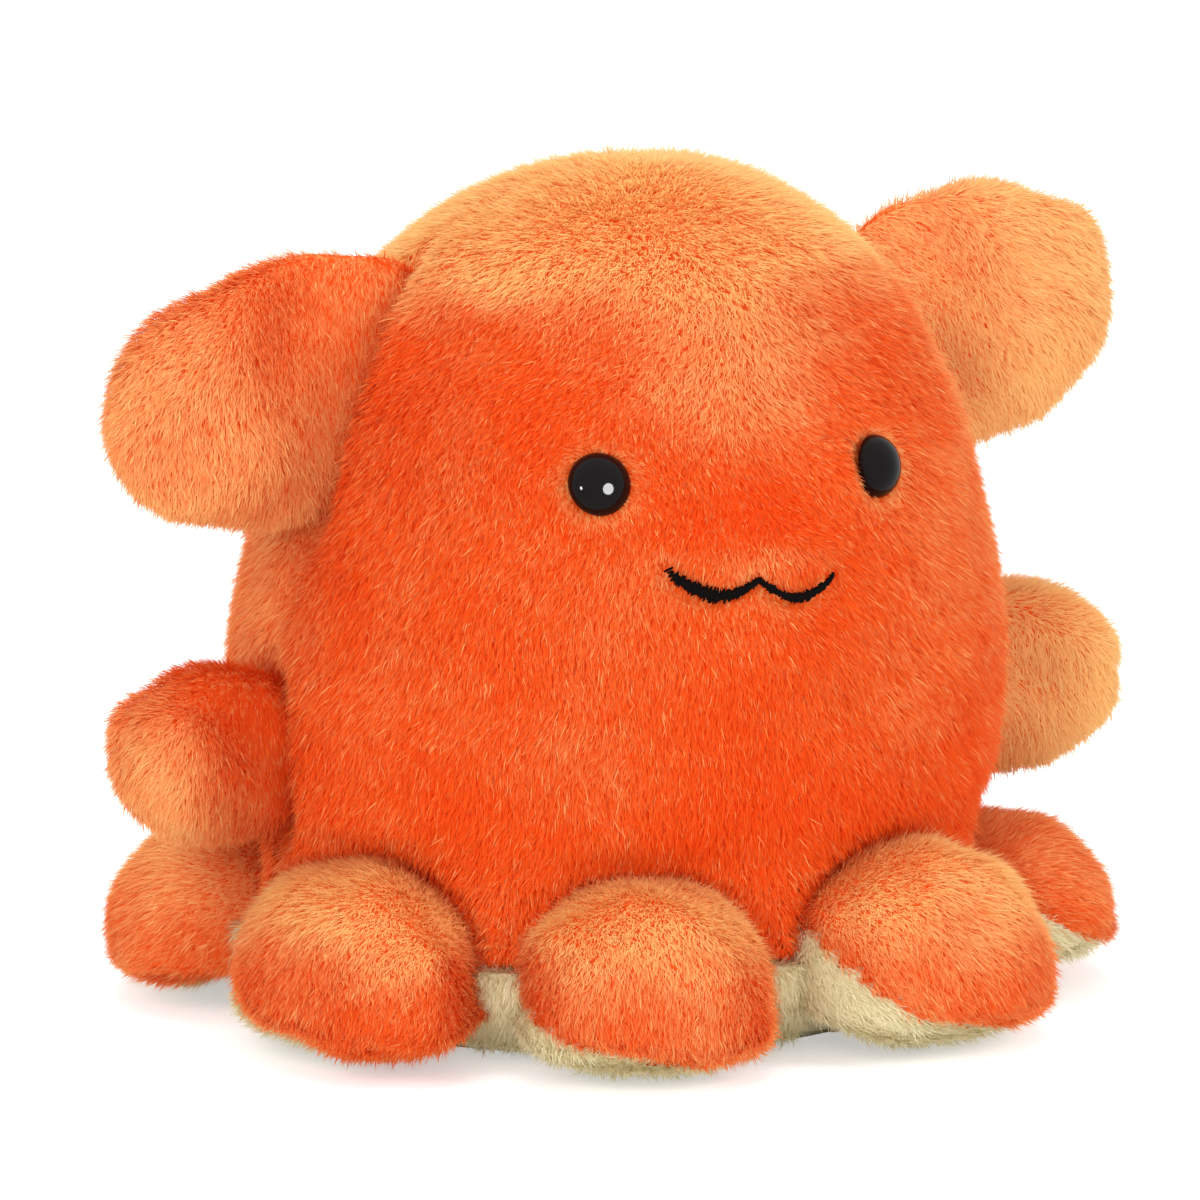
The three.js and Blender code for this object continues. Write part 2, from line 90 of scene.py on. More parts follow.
relief = {
    "lumps": {21: (0.5, 30.0), 22: (0.15, 11.0)},
    # dents and rises: how high and how wide
    "seam": (-1.0, 1.6),
    "dimple": (-0.9, 5.5),
    "besideEye": (1.8, 3.2),  # fur that half covers the turned eye
    "groove": (-1.0, 1.5),
    "crease": (1.5, 3.0),  # where the body is drawn in above each floor arm
    "seamStart": (8, 20),  # heights over which the seam's groove starts and fades, and how much of it fades
    "seamEnd": (92, 102),
    "seamFade": 0.65,
    "besideEyeAt": (-6.0, -1.5, -0.8),
    "flank": (-0.8, -0.45),
    "lipRise": 0.9,
    "lipWidth": 5.0,
    "lipHeight": 3.2,
    "creaseHeight": 25.5,
    "socket": (1.8, 0.9, 1.7),  # limbs sit in shallow hollows: how deep, from where and how far out
}

mouth = {
    "drop": 11.5,
    "width": 24.0,
    "sag": 2.7,
    "peakDrop": 0.9,
    "proud": -0.25,
    "turn": -1.4,  # degrees round from the middle of the face
    "tilt": 1.0,  # the octopus's right end lies higher by this
    "lift": 0.5,
    # width of the satin stitch along the line
    "band": [(-1.0, 1.1), (-0.8, 1.6), (-0.5, 1.75), (-0.2, 1.2), (0.0, 0.85), (0.25, 1.15), (0.55, 1.3),
             (0.8, 1.0), (1.0, 0.5)],
    "slant": (0.15, 0.16),  # of the stitches: how much, and how much it varies
    "spans": (0.7, 1.3),
    "thread": 0.24,
    "threads": (0.85, 1.15),
    "girth": 0.75,
    "endGirth": 0.55,
    "arch": 0.35,
    "sunk": 0.15,
    "stitches": 130,
    "seed": 5,
}

floorArm = {
    "count": 8,
    "length": 18.3,
    "top": 24.0,
    "waist": 7.0,
    "fullest": 2.5,
    "squareness": 2.2,
    "webWidth": 3.0,
    "creaseDrop": 1.5,
    "soleGap": 0.4,
    "seams": {1: (12.0, 2.0), 2: (10.5, 2.5), 6: (8.0, 2.2), 7: (4.5, 2.8), 8: (6.0, 3.0)},  # at root and tip
    "plainSeam": (8.5, 2.5),
    "seamTwist": 14.0,
    # how single arms lie: wider, longer, swayed towards the next arm, fuller on top, under: clear of the floor
    "shapes": {1: {"widen": 1.05, "sway": 1.8, "plump": 2.2, "stretch": 1.0},
               2: {"under": 4.6, "plump": -1.6, "stretch": -1.2}, 6: {"under": 1.5},
               7: {"sway": 7.2, "widen": 1.1, "plump": 1.2, "under": 1.2},
               8: {"widen": 0.94, "sway": 0.8, "plump": 1.2}},
    "rootArch": 6.5,  # height of an arm's underside at its root
    # painted sheen: the pile on top of each floor arm is painted paler for the light that falls on it
    "pale": {2: 0.1, 6: 0.26},  # how much paler the pile lies on top
    "plainPale": 0.54,
    "rings": 30,
    "columns": 56,
    "lump": (0.5, 13.0),
    "seamGroove": (-0.8, 1.3),
    "hairFrom": 0.86,  # the pile starts where the body's skin is about to cover it
    "soleHairs": 0.35,  # share of the hairs that stay where a sole lies on the floor
    "comb": {"out": 1.0, "drop": 0.45, "axis": 1},
}

ear = {
    "length": 33.5,
    "bury": 20.0,
    "height": 34.5,
    "thickness": 17.0,
    "root": 7.0,
    "squareness": 2.5,
    "roundness": 2.12,  # of the stuffed ear, a little softer than its pattern
    "rootFill": (0.8, 9.0),
    "drop": 26.0,
    "tilt": {"left": 9.0, "right": -8.0},
    "rest": {"left": 7.0, "right": 0.0},  # how far each ear lies turned, seen from above
    # how pale the pile is painted: painted sheen and shade for how the light falls, at the root and at the tip
    "paintedLight": {"left": {"root": 0.84, "tip": 0.9}, "right": {"root": 0.46, "tip": 0.7}},
    "scale": {"left": 1.0, "right": 1.0},
}

sideArm = {
    "length": 21.5,
    "bury": 9.0,
    "height": 24.0,
    "thickness": 22.0,
    "root": 12.0,
    "squareness": 2.4,
    "middle": 36.0,
    "tilt": {"left": 5.0, "right": 5.0},
    # painted sheen and shade: how pale the pile is painted, at the root and at the tip
    "paintedLight": {"left": {"root": 0.9, "tip": 0.97}, "right": {"root": 0.2, "tip": 0.62}},
    "roundness": 2.4,
    "rootFill": (0.0, 9.0),
    "scale": {"left": 1.05, "right": 0.96},
}

paddle = {"rings": 34, "columns": 60, "hairFrom": 0.9, "comb": {"out": 0.5, "drop": 1.0, "axis": 2},
          "lump": (0.6, 12.0), "seamGroove": (-0.7, 1.0), "fillAt": 7.0}

web = {"reach": 11.2, "arch": 7.8, "lip": 13.4, "spread": 0.6, "steps": 41, "turns": 25,
       "hairFrom": 0.8, "outComb": 0.0125, "tone": 0.35}

pile = {
    "orange": {"length": 2.3, "width": 0.135, "perMm2": 16.0, "sink": 1.6, "stand": 1.25, "tipStand": 0.45},
    "cream": {"length": 2.2, "width": 0.15, "perMm2": 11.0, "sink": 1.2, "stand": 0.7, "tipStand": 0.3},
    "floor": 0.15,  # no hair of a limb goes lower
}

# how hairs differ: their turn in wide swirls, in tufts and one by one, then length, stand, width and tone;
# a pair in swirl, tuft, standWave and drifts is how much and how wide;
# tame, plain and notDark are the shares that aren't loose, paler or darker; the paler strands are painted
# glints, the darker ones painted specks of shade
hair = {
    "swirl": (0.25, 14.0),
    "tuft": (0.1, 2.6),
    "stray": 0.3,
    "lengths": (0.72, 1.2),
    "tame": 0.86,
    "looseLength": 0.3,
    "looseStand": 0.6,
    "standWave": (0.14, 3.1),
    "standNoise": 0.2,
    "leastStand": 0.25,
    "widths": (0.7, 1.3),
    "twist": 0.35,
    "leafShade": 0.35,
    "shadeNoise": 0.1,
    "drifts": {17: (0.06, 26.0), 18: (0.04, 9.0), 19: (0.03, 3.0)},  # soft unevenness of the tone
    "plain": 0.94,
    "paler": 0.38,
    "notDark": 0.96,
    "darker": 0.2,
    "toneNoise": 0.07,
}

cloth = {"thickness": 0.4, "stuffingGap": 0.5, "slack": 1.2,
         "pelletLevel": 18.0, "pelletGap": 0.3, "pelletEdge": 4.5}

eyes = {"radius": 4.1, "rise": 3.3, "shank": 1.5, "rib": 1.9, "columns": 64, "domeRings": 20}

bodyRadius = body["width"] / 2
depthShare = body["depth"] / body["width"]
mouthTop = body["eyeHeight"] - mouth["drop"]
muzzleAside = bodyRadius * math.cos(faceAngle)


# Vectors and noise

def unit(vectors):
    return vectors / np.maximum(np.linalg.norm(vectors, axis=-1, keepdims=True), 1e-9)


def ripple(points, size, seed, layers=7):  # smooth noise from about -1 to 1
    dice = np.random.default_rng(seed)
    ways = unit(dice.normal(size=(layers, 3)))
    waves = size * dice.uniform(0.7, 1.5, layers)
    shifts = dice.uniform(0, 2 * math.pi, layers)
    turns = points @ (ways * (2 * math.pi / waves[:, None])).T + shifts
    return np.sin(turns).sum(axis=1) / math.sqrt(layers * 1.3)


def bump(distance, width):
    return np.exp(-((distance / width) ** 2))


def dent(size, distance):  # a dent or a rise, of a height and a width
    return size[0] * bump(distance, size[1])


def lumps(points, layers):  # unevenness in layers: seed, how high and how wide
    return sum(high * ripple(points, wide, seed) for seed, (high, wide) in layers.items())


def smooth(value, low, high):
    share = np.clip((value - low) / (high - low), 0, 1)
    return share * share * (3 - 2 * share)


# Forms are closed rings of points with a pole at each end

def ringedFaces(rings, columns):
    column = np.arange(columns)
    after = (column + 1) % columns
    quads = [
        np.stack([1 + i * columns + column, 1 + i * columns + after,
                  1 + (i + 1) * columns + after, 1 + (i + 1) * columns + column], axis=1)
        for i in range(rings - 1)
    ]
    last = 1 + rings * columns
    top = np.stack([np.zeros(columns, int), after + 1, column + 1], axis=1)
    bottom = np.stack([np.full(columns, last), last - columns + column, last - columns + after], axis=1)
    return np.concatenate(quads), np.concatenate([top, bottom])


def makeForm(points, rings, columns):
    quads, fans = ringedFaces(rings, columns)
    triangles = np.concatenate([quads[:, [0, 1, 2]], quads[:, [0, 2, 3]], fans])
    corners = points[triangles]
    volume = np.sum(corners[:, 0] * np.cross(corners[:, 1], corners[:, 2]))
    if volume < 0:
        quads, fans, triangles = quads[:, ::-1], fans[:, ::-1], triangles[:, ::-1]
    return withPoints({"quads": quads, "fans": fans, "triangles": triangles}, points)


def faceNormals(corners):  # twice as long as the area of each triangle
    return np.cross(corners[:, 1] - corners[:, 0], corners[:, 2] - corners[:, 0])


def withPoints(form, points):  # the form's faces over other points, with normals that fit
    across = faceNormals(points[form["triangles"]])
    normals = np.zeros_like(points)
    for k in range(3):
        np.add.at(normals, form["triangles"][:, k], across)
    return dict(form, points=points, normals=unit(normals))


def shifted(form, offsets):  # the form moved along its own normals
    return withPoints(form, form["points"] + form["normals"] * offsets[:, None])


def anglesRound(columns):
    return np.arange(columns) * 2 * math.pi / columns


def facesOf(form):
    return form["quads"].tolist() + form["fans"].tolist()


def newPiece(name, data):
    piece = bpy.data.objects.new(name, data)
    bpy.context.scene.collection.objects.link(piece)
    return piece


def makeMesh(name, points, faces, material):
    mesh = bpy.data.meshes.new(name)
    mesh.from_pydata((points * metresPerMm).tolist(), [], faces)
    mesh.validate()
    mesh.polygons.foreach_set("use_smooth", [True] * len(mesh.polygons))
    mesh.materials.append(material)
    return newPiece(name, mesh)


def clothPanel(name, form, chosen, material):
    # the chosen part of a form as a panel of cloth with an inside, an outside and a closed rim
    faces = facesOf(form)
    middles = np.array([form["points"][face].mean(axis=0) for face in faces])
    kept = [face for face, inside in zip(faces, chosen(middles)) if inside]
    used = sorted({corner for face in kept for corner in face})
    number = {old: new for new, old in enumerate(used)}
    outer = form["points"][used]
    inner = outer - form["normals"][used] * cloth["thickness"]
    count = len(used)
    edges, shell = {}, []
    for face in kept:
        ring = [number[corner] for corner in face]
        shell += [ring, [corner + count for corner in reversed(ring)]]
        edges.update(dict.fromkeys(zip(ring, ring[1:] + ring[:1])))
    shell += [[b, a, a + count, b + count] for a, b in edges if (b, a) not in edges]
    return makeMesh(name, np.concatenate([outer, inner]), shell, material)


# Body form

def bodyRadiusAt(height):
    below = np.clip((height - body["foot"]) / (body["waist"] - body["foot"]), 0, 1)
    above = np.clip((height - body["waist"]) / (body["height"] - body["waist"]), 0, 1)
    skirt = bodyRadius - body["tuck"] * (1 - below) ** 2
    return np.where(height < body["waist"], skirt, bodyRadius * np.sqrt(1 - above ** 2))


def leanAt(height):
    return body["lean"] * height / body["height"]


def ontoBody(across, height):  # across is the turn of the revolved form before it is flattened
    radius = bodyRadiusAt(height)
    points = np.stack([radius * np.cos(across), radius * depthShare * np.sin(across), height], axis=-1)
    away = np.hypot(points[..., 0] - muzzleAside, points[..., 2] - (mouthTop - mouth["sag"]))
    away = away / body["muzzleSpread"]
    points[..., 1] -= np.where(points[..., 1] < 0, body["muzzleRise"] * np.exp(-away * away), 0)
    points[..., 1] -= leanAt(points[..., 2])
    return points


def bodyPoint(angle, height):  # seen from the leaning middle line, in a true direction
    angle = np.asarray(angle, float)
    height = np.asarray(height, float)
    return ontoBody(np.arctan2(np.sin(angle) / depthShare, np.cos(angle)), height)


def bodyNormal(angle, height, step=0.5):
    around = bodyPoint(angle + step / bodyRadius, height) - bodyPoint(angle - step / bodyRadius, height)
    rise = bodyPoint(angle, height + step) - bodyPoint(angle, height - step)
    return unit(np.cross(around, rise))


def latheTurn(angle):  # a true direction as a turn of the revolved form
    return math.atan2(math.sin(angle) / depthShare, math.cos(angle))


def fromSeam(points):  # under 0 on the front half of the body
    return points[:, 1] + leanAt(points[:, 2])


# Mouth line, from the octopus's right end over the peak to its left end

def mouthPoint(along):
    out = np.abs(along)
    halfAngle = mouth["width"] / 2 / (bodyRadiusAt(np.float64(mouthTop)) * depthShare + leanAt(mouthTop))
    angle = faceAngle + along * halfAngle + math.radians(mouth["turn"])
    bend = np.sin(math.pi * np.clip(out, 1e-6, 1 - 1e-6)) ** (1 - 0.4 * smooth(out, 0.5, 1.0))
    height = mouthTop - mouth["peakDrop"] * (1 - out) - mouth["sag"] * bend
    return angle, height + mouth["lift"] - mouth["tilt"] * along


mouthAngle, mouthHeight = mouthPoint(np.linspace(-1, 1, 121))
mouthLine = bodyPoint(mouthAngle, mouthHeight)


def fromMouth(points):
    nearest = np.full(len(points), 1e9)
    close = np.abs(points[:, 2] - mouthTop) < 20
    gaps = np.linalg.norm(points[close, None, :] - mouthLine[None, :, :], axis=2)
    nearest[close] = gaps.min(axis=1) if close.any() else nearest[close]
    return nearest


# Eyes stand where the part has them: a dome's tip and its shank's end are its two furthest points

def eyeAxis(node):
    spots = np.array([vertex.co for vertex in frame["nodes"][node].data.vertices]) / metresPerMm
    gaps = np.linalg.norm(spots[:, None, :] - spots[None, :, :], axis=2)
    first, second = np.unravel_index(gaps.argmax(), gaps.shape)
    tip, end = sorted([spots[first], spots[second]], key=lambda spot: spot[1])
    outward = unit(tip - end)
    return tip - outward * eyes["rise"], outward


eyeAxes = {side: eyeAxis(side + "_eye") for side in ("left", "right")}


def bodyShare(points):  # under 1 inside the body, over 1 outside it
    across = np.hypot(points[:, 0], fromSeam(points) / depthShare)
    return across / np.maximum(bodyRadiusAt(points[:, 2]), 1e-3)


def fromEye(points, side):
    return np.linalg.norm(points - eyeAxes[side][0], axis=-1)


# Limb forms, each in its own directions: out, along the front and up

def armFrame(number):
    angle = chestAngle + (number - 0.5) * 2 * math.pi / floorArm["count"]
    out = np.array([math.cos(angle), math.sin(angle), 0])
    aside = np.array([-math.sin(angle), math.cos(angle), 0])
    hingeHeight = floorArm["top"] - floorArm["creaseDrop"]
    steps = latheTurn(angle) + np.linspace(-0.3, 0.3, 121)
    spots = [ontoBody(step, np.float64(hingeHeight)) for step in steps]
    turns = [abs(math.remainder(math.atan2(spot[1], spot[0]) - angle, 2 * math.pi)) for spot in spots]
    reach = float(np.hypot(*spots[int(np.argmin(turns))][:2]))
    hinge = out * reach + np.array([0, 0, hingeHeight])
    halfWidth = reach * math.tan(math.pi / floorArm["count"]) - floorArm["webWidth"] / 2
    length, height = floorArm["length"] - floorArm["fullest"], floorArm["top"] - floorArm["waist"]
    sizes = np.array([length, halfWidth, height])
    middle = np.array([floorArm["fullest"], 0, floorArm["waist"] - hingeHeight])
    return {"axes": np.stack([out, aside, [0, 0, 1]]), "hinge": hinge, "sizes": sizes, "middle": middle,
            "squareness": floorArm["squareness"]}


def paddleFrame(limb, side):
    way = 1 if side == "left" else -1
    height = body["height"] - limb["drop"] if "drop" in limb else limb["middle"]
    root = bodyPoint(0 if way > 0 else math.pi, height)
    lift = math.radians(limb["tilt"][side])
    out = np.array([way * math.cos(lift), 0, math.sin(lift)])
    upward = np.array([-way * math.sin(lift), 0, math.cos(lift)])
    front = np.array([0.0, way, 0.0])
    axes = np.stack([out, front, upward])
    if "rest" in limb:
        joint = next(each for each in frame["joints"] if each["name"] == f"{side}_ear_fold")
        hingeLine = Vector(joint["axis"]) * math.copysign(1, joint["axis"][2])
        turn = Matrix.Rotation(math.radians(limb["rest"][side]), 3, hingeLine)
        axes = axes @ np.array(turn).T
    sizes = np.array([(limb["length"] + limb["bury"]) / 2, limb["thickness"] / 2, limb["height"] / 2])
    middle = np.array([(limb["length"] - limb["bury"]) / 2, 0, 0])
    return {"axes": axes, "hinge": root, "sizes": sizes, "middle": middle,
            "squareness": limb["squareness"], "pinch": limb["root"] / limb["thickness"],
            "open": middle[0] + limb["thickness"] / 2}


def pinchAt(limbFrame, out):
    if "pinch" not in limbFrame:
        return np.ones_like(out)
    share = smooth(out, 0, limbFrame["open"])
    return limbFrame["pinch"] + (1 - limbFrame["pinch"]) * share


def toLimb(limbFrame, points):
    return (points - limbFrame["hinge"]) @ limbFrame["axes"].T


def limbDepth(limbFrame, points):  # under 1 inside the limb's form, over 1 outside it
    local = toLimb(limbFrame, points)
    local[:, 1] /= pinchAt(limbFrame, local[:, 0])
    shares = np.abs((local - limbFrame["middle"]) / limbFrame["sizes"])
    return (shares ** limbFrame["squareness"]).sum(axis=1)


def plumpPoints(limbFrame, rings, columns, poleAxis):  # a ball pulled out to the limb's sizes
    turn = np.linspace(0, math.pi, rings + 2)[1:-1]
    round_ = anglesRound(columns)
    ball = np.stack([
        np.sin(turn)[:, None] * np.cos(round_)[None, :],
        np.sin(turn)[:, None] * np.sin(round_)[None, :],
        np.broadcast_to(np.cos(turn)[:, None], (rings, columns)),
    ], axis=-1).reshape(-1, 3)
    ball = np.concatenate([[[0, 0, 1]], ball, [[0, 0, -1]]])
    if poleAxis == 1:
        ball = ball[:, [0, 2, 1]]
    power = limbFrame["squareness"]
    ball /= ((np.abs(ball) ** power).sum(axis=1) ** (1 / power))[:, None]
    local = ball * limbFrame["sizes"] + limbFrame["middle"]
    local[:, 1] *= pinchAt(limbFrame, local[:, 0])
    return local


def toWorld(limbFrame, local):
    return local @ limbFrame["axes"] + limbFrame["hinge"]


armFrames = {number: armFrame(number) for number in range(1, floorArm["count"] + 1)}
earFrames, sideArmFrames = ({side: paddleFrame(limb, side) for side in eyeAxes} for limb in (ear, sideArm))
limbFrames = [*armFrames.values(), *earFrames.values(), *sideArmFrames.values()]


def limbGap(points, among=limbFrames):  # the depth in whichever limb is nearest
    return np.min([limbDepth(limbFrame, points) for limbFrame in among], axis=0)


# Materials

def newMaterial(name):
    material = bpy.data.materials.new(name)
    material.use_nodes = True
    return material, material.node_tree, material.node_tree.nodes["Principled BSDF"]


def feed(tree, node, inputs):  # values are set on the sockets, outputs of other nodes are linked
    for key, value in inputs.items():
        if isinstance(value, bpy.types.NodeSocket):
            tree.links.new(value, node.inputs[key])
        else:
            node.inputs[key].default_value = value


def addNode(tree, kind, inputs=None, **settings):
    node = tree.nodes.new(kind)
    for key, value in settings.items():
        setattr(node, key, value)
    feed(tree, node, inputs or {})
    return node


def linear(red, green, blue):  # a screen colour from 0 to 255 as the shader's own
    values = [value / 255 for value in (red, green, blue)]
    return (*[v / 12.92 if v <= 0.04045 else ((v + 0.055) / 1.055) ** 2.4 for v in values], 1.0)


def mixColours(tree, factor, first, second):
    return addNode(tree, "ShaderNodeMix", {0: factor, 6: first, 7: second}, data_type="RGBA").outputs[2]


def mixShaders(tree, factor, first, second):
    return addNode(tree, "ShaderNodeMixShader", {0: factor, 1: first, 2: second}).outputs[0]


def maths(tree, operation, *given):
    return addNode(tree, "ShaderNodeMath", dict(enumerate(given)), operation=operation).outputs[0]


def ranged(tree, value, low, high, toLow=0.0, toHigh=1.0):
    given = {"Value": value, "From Min": low, "From Max": high, "To Min": toLow, "To Max": toHigh}
    return addNode(tree, "ShaderNodeMapRange", given).outputs[0]


def noise(tree, scale, detail, stretch=1.0):  # in the piece's own space, drawn out upwards under 1
    place = addNode(tree, "ShaderNodeTexCoord").outputs["Object"]
    if stretch != 1.0:
        place = addNode(tree, "ShaderNodeMapping", {"Vector": place, "Scale": (1.0, 1.0, stretch)}).outputs[0]
    return addNode(tree, "ShaderNodeTexNoise", {"Vector": place, "Scale": scale, "Detail": detail}).outputs[0]


def ridged(tree, height, strength, distance):
    given = {"Height": height, "Strength": strength, "Distance": distance}
    return addNode(tree, "ShaderNodeBump", given).outputs[0]


def buildPileTint():
    # colour of a pile: deep at the root, painted shade there, and paler at the tip, painted light on the tips;
    # paler all along where the tone is high, which carries painted sheen and shade
    group = bpy.data.node_groups.new("pileTint", "ShaderNodeTree")
    sockets = {"INPUT": {"Deep": "Color", "Full": "Color", "Tip": "Color", "Along": "Float", "Tone": "Float"},
               "OUTPUT": {"Color": "Color", "Roughness": "Float"}}
    for way, labels in sockets.items():
        for label, kind in labels.items():
            group.interface.new_socket(label, in_out=way, socket_type="NodeSocket" + kind)
    given = group.nodes.new("NodeGroupInput").outputs
    reach = maths(group, "MULTIPLY", given["Along"], given["Along"])
    reach = maths(group, "MULTIPLY", reach, 0.3)
    reach = maths(group, "MULTIPLY_ADD", given["Tone"], 0.8, reach)
    lower = mixColours(group, ranged(group, reach, 0.0, 0.35), given["Deep"], given["Full"])
    colour = mixColours(group, ranged(group, reach, 0.35, 1.0), lower, given["Tip"])
    roughness = ranged(group, given["Tone"], 0.0, 1.0, 0.8, 0.55)
    feed(group, group.nodes.new("NodeGroupOutput"), {"Color": colour, "Roughness": roughness})
    return group


pileTint = buildPileTint()

# the deep root colour is painted shade and the pale tip colour painted light; sheen is the shader's own sheen
# tint
pileColours = {
    "orange": {"deep": linear(224, 66, 12), "full": linear(220, 86, 24), "tip": linear(233, 191, 124),
               "sheen": (1.0, 0.55, 0.28, 1.0)},
    "cream": {"deep": linear(186, 168, 118), "full": linear(205, 195, 156), "tip": linear(234, 229, 200),
              "sheen": (1.0, 0.98, 0.85, 1.0)},
}


def tinted(tree, colourName, tone, along):
    given = {label: pileColours[colourName][label.lower()] for label in ("Deep", "Full", "Tip")}
    given.update({"Tone": tone, "Along": along})
    return addNode(tree, "ShaderNodeGroup", given, node_tree=pileTint).outputs


def pileMaterial(colourName):
    material, tree, shader = newMaterial(colourName + "Pile")
    strandMap = addNode(tree, "ShaderNodeUVMap", uv_map="strand")
    parts = addNode(tree, "ShaderNodeSeparateXYZ", {0: strandMap.outputs[0]})
    # the strand map's x is the tone, which carries painted sheen and shade
    tint = tinted(tree, colourName, parts.outputs["X"], parts.outputs["Y"])
    feed(tree, shader, {"Base Color": tint["Color"], "Roughness": tint["Roughness"],
                        "Specular IOR Level": 0.06, "Sheen Weight": 0.12, "Sheen Roughness": 0.5,
                        "Sheen Tint": pileColours[colourName]["sheen"]})
    # a strand seen from below glows with the light that falls on it from outside
    glow = addNode(tree, "ShaderNodeBsdfTranslucent", {"Color": tint["Color"]})
    side = addNode(tree, "ShaderNodeNewGeometry").outputs["Backfacing"]
    both = mixShaders(tree, side, shader.outputs[0], glow.outputs[0])
    feed(tree, tree.nodes["Material Output"], {"Surface": both})
    return material


def clothMaterial(colourName):
    # the cloth under the pile: short streaks of nap that run down, with a matching bump
    material, tree, shader = newMaterial(colourName + "Cloth")
    nap = noise(tree, 1600.0, 2.0, 0.3)
    tone, along = (ranged(tree, nap, 0.3, 0.7, *share) for share in ((0.2, 0.7), (0.05, 0.6)))
    tint = tinted(tree, colourName, tone, along)
    feed(tree, shader, {"Base Color": tint["Color"], "Roughness": 0.9, "Specular IOR Level": 0.1,
                        "Normal": ridged(tree, nap, 0.6, 0.0004)})
    return material


def plainMaterial(name, dark, light, scale, roughness, ridge=None, detail=5.0, specular=0.5):
    # a mottled colour, with a roughness of one value or a range, and a bump of the same grain
    material, tree, shader = newMaterial(name)
    grain = noise(tree, scale, detail)
    if isinstance(roughness, tuple):
        roughness = ranged(tree, grain, 0.3, 0.7, *roughness)
    feed(tree, shader, {"Base Color": mixColours(tree, grain, linear(*dark), linear(*light)),
                        "Roughness": roughness, "Specular IOR Level": specular})
    if ridge:
        feed(tree, shader, {"Normal": ridged(tree, grain, *ridge)})
    return material


materials = {
    "orangePile": pileMaterial("orange"),
    "creamPile": pileMaterial("cream"),
    "orangeCloth": clothMaterial("orange"),
    "creamCloth": clothMaterial("cream"),
    "eye": plainMaterial("eyeGloss", (8, 6, 6), (18, 14, 14), 500.0, (0.03, 0.09), detail=4.0, specular=0.13),
    "thread": plainMaterial("blackThread", (2, 2, 2), (14, 11, 10), 2500.0, (0.55, 0.8), (0.4, 0.0001),
                            detail=2.0, specular=0.08),
    "fibre": plainMaterial("fibreFilling", (214, 214, 208), (250, 250, 247), 900.0, 0.95, (0.9, 0.0005)),
    "pellets": plainMaterial("pelletCloth", (190, 183, 165), (230, 224, 208), 1400.0, 0.85, (0.5, 0.0005)),
    "patch": plainMaterial("patchCloth", (222, 222, 220), (248, 248, 246), 2200.0, 0.9, (0.4, 0.0005)),
    "washer": plainMaterial("washerPlastic", (222, 222, 219), (235, 235, 233), 700.0, 0.45, (0.1, 0.0005)),
}
print("materials made")


# Pile

def sampleRoots(form, perMm2, seed):
    dice = np.random.default_rng(seed)
    corners = form["points"][form["triangles"]]
    areas = np.linalg.norm(faceNormals(corners), axis=1) / 2
    total = areas.sum()
    chosen = np.searchsorted(np.cumsum(areas) / total, dice.random(int(total * perMm2)))
    chosen = np.minimum(chosen, len(areas) - 1)
    first = np.sqrt(dice.random(len(chosen)))
    second = dice.random(len(chosen))
    weights = np.stack([1 - first, first * (1 - second), first * second], axis=1)[:, :, None]
    normals = form["normals"][form["triangles"][chosen]]
    return (corners[chosen] * weights).sum(axis=1), unit((normals * weights).sum(axis=1))


def combed(points, normals, comb, seed):
    dice = np.random.default_rng(seed)
    flow = unit(comb - normals * np.sum(comb * normals, axis=-1, keepdims=True))
    turn = lumps(points, {seed + 1: hair["swirl"], seed + 2: hair["tuft"]})
    turn = turn + hair["stray"] * dice.normal(size=len(points))
    aside = np.cross(normals, flow)
    return flow * np.cos(turn)[:, None] + aside * np.sin(turn)[:, None]


def addStrands(name, strands, shading, tone, material):
    # each strand is a slim leaf of two triangles: root, widest left, widest right, tip
    count = len(strands)
    start = np.arange(count)[:, None] * 4
    triangles = np.concatenate([start + [0, 2, 1], start + [1, 2, 3]], axis=1).reshape(-1, 3)
    mesh = bpy.data.meshes.new(name)
    mesh.vertices.add(count * 4)
    mesh.vertices.foreach_set("co", (strands.reshape(-1) * metresPerMm).astype(np.float32))
    mesh.loops.add(triangles.size)
    mesh.loops.foreach_set("vertex_index", triangles.reshape(-1).astype(np.int32))
    mesh.polygons.add(len(triangles))
    mesh.polygons.foreach_set("loop_start", np.arange(0, triangles.size, 3, dtype=np.int32))
    mesh.update(calc_edges=True)
    sideways = np.array([0, 0.015, -0.015, -0.015, 0.015, 0])
    across = np.clip(tone, 0.03, 0.97)[:, None] + sideways
    along = np.broadcast_to([0.02, 0.5, 0.5, 0.5, 0.5, 0.98], (count, 6))
    places = np.stack([across, along], axis=2).reshape(-1).astype(np.float32)
    for layer in ("strand", "OFBake"):
        mesh.uv_layers.new(name=layer).data.foreach_set("uv", places)
    mesh.normals_split_custom_set_from_vertices(np.repeat(shading, 4, axis=0).tolist())
    mesh.materials.append(material)
    print(name, count, "strands")
    return newPiece(name, mesh)


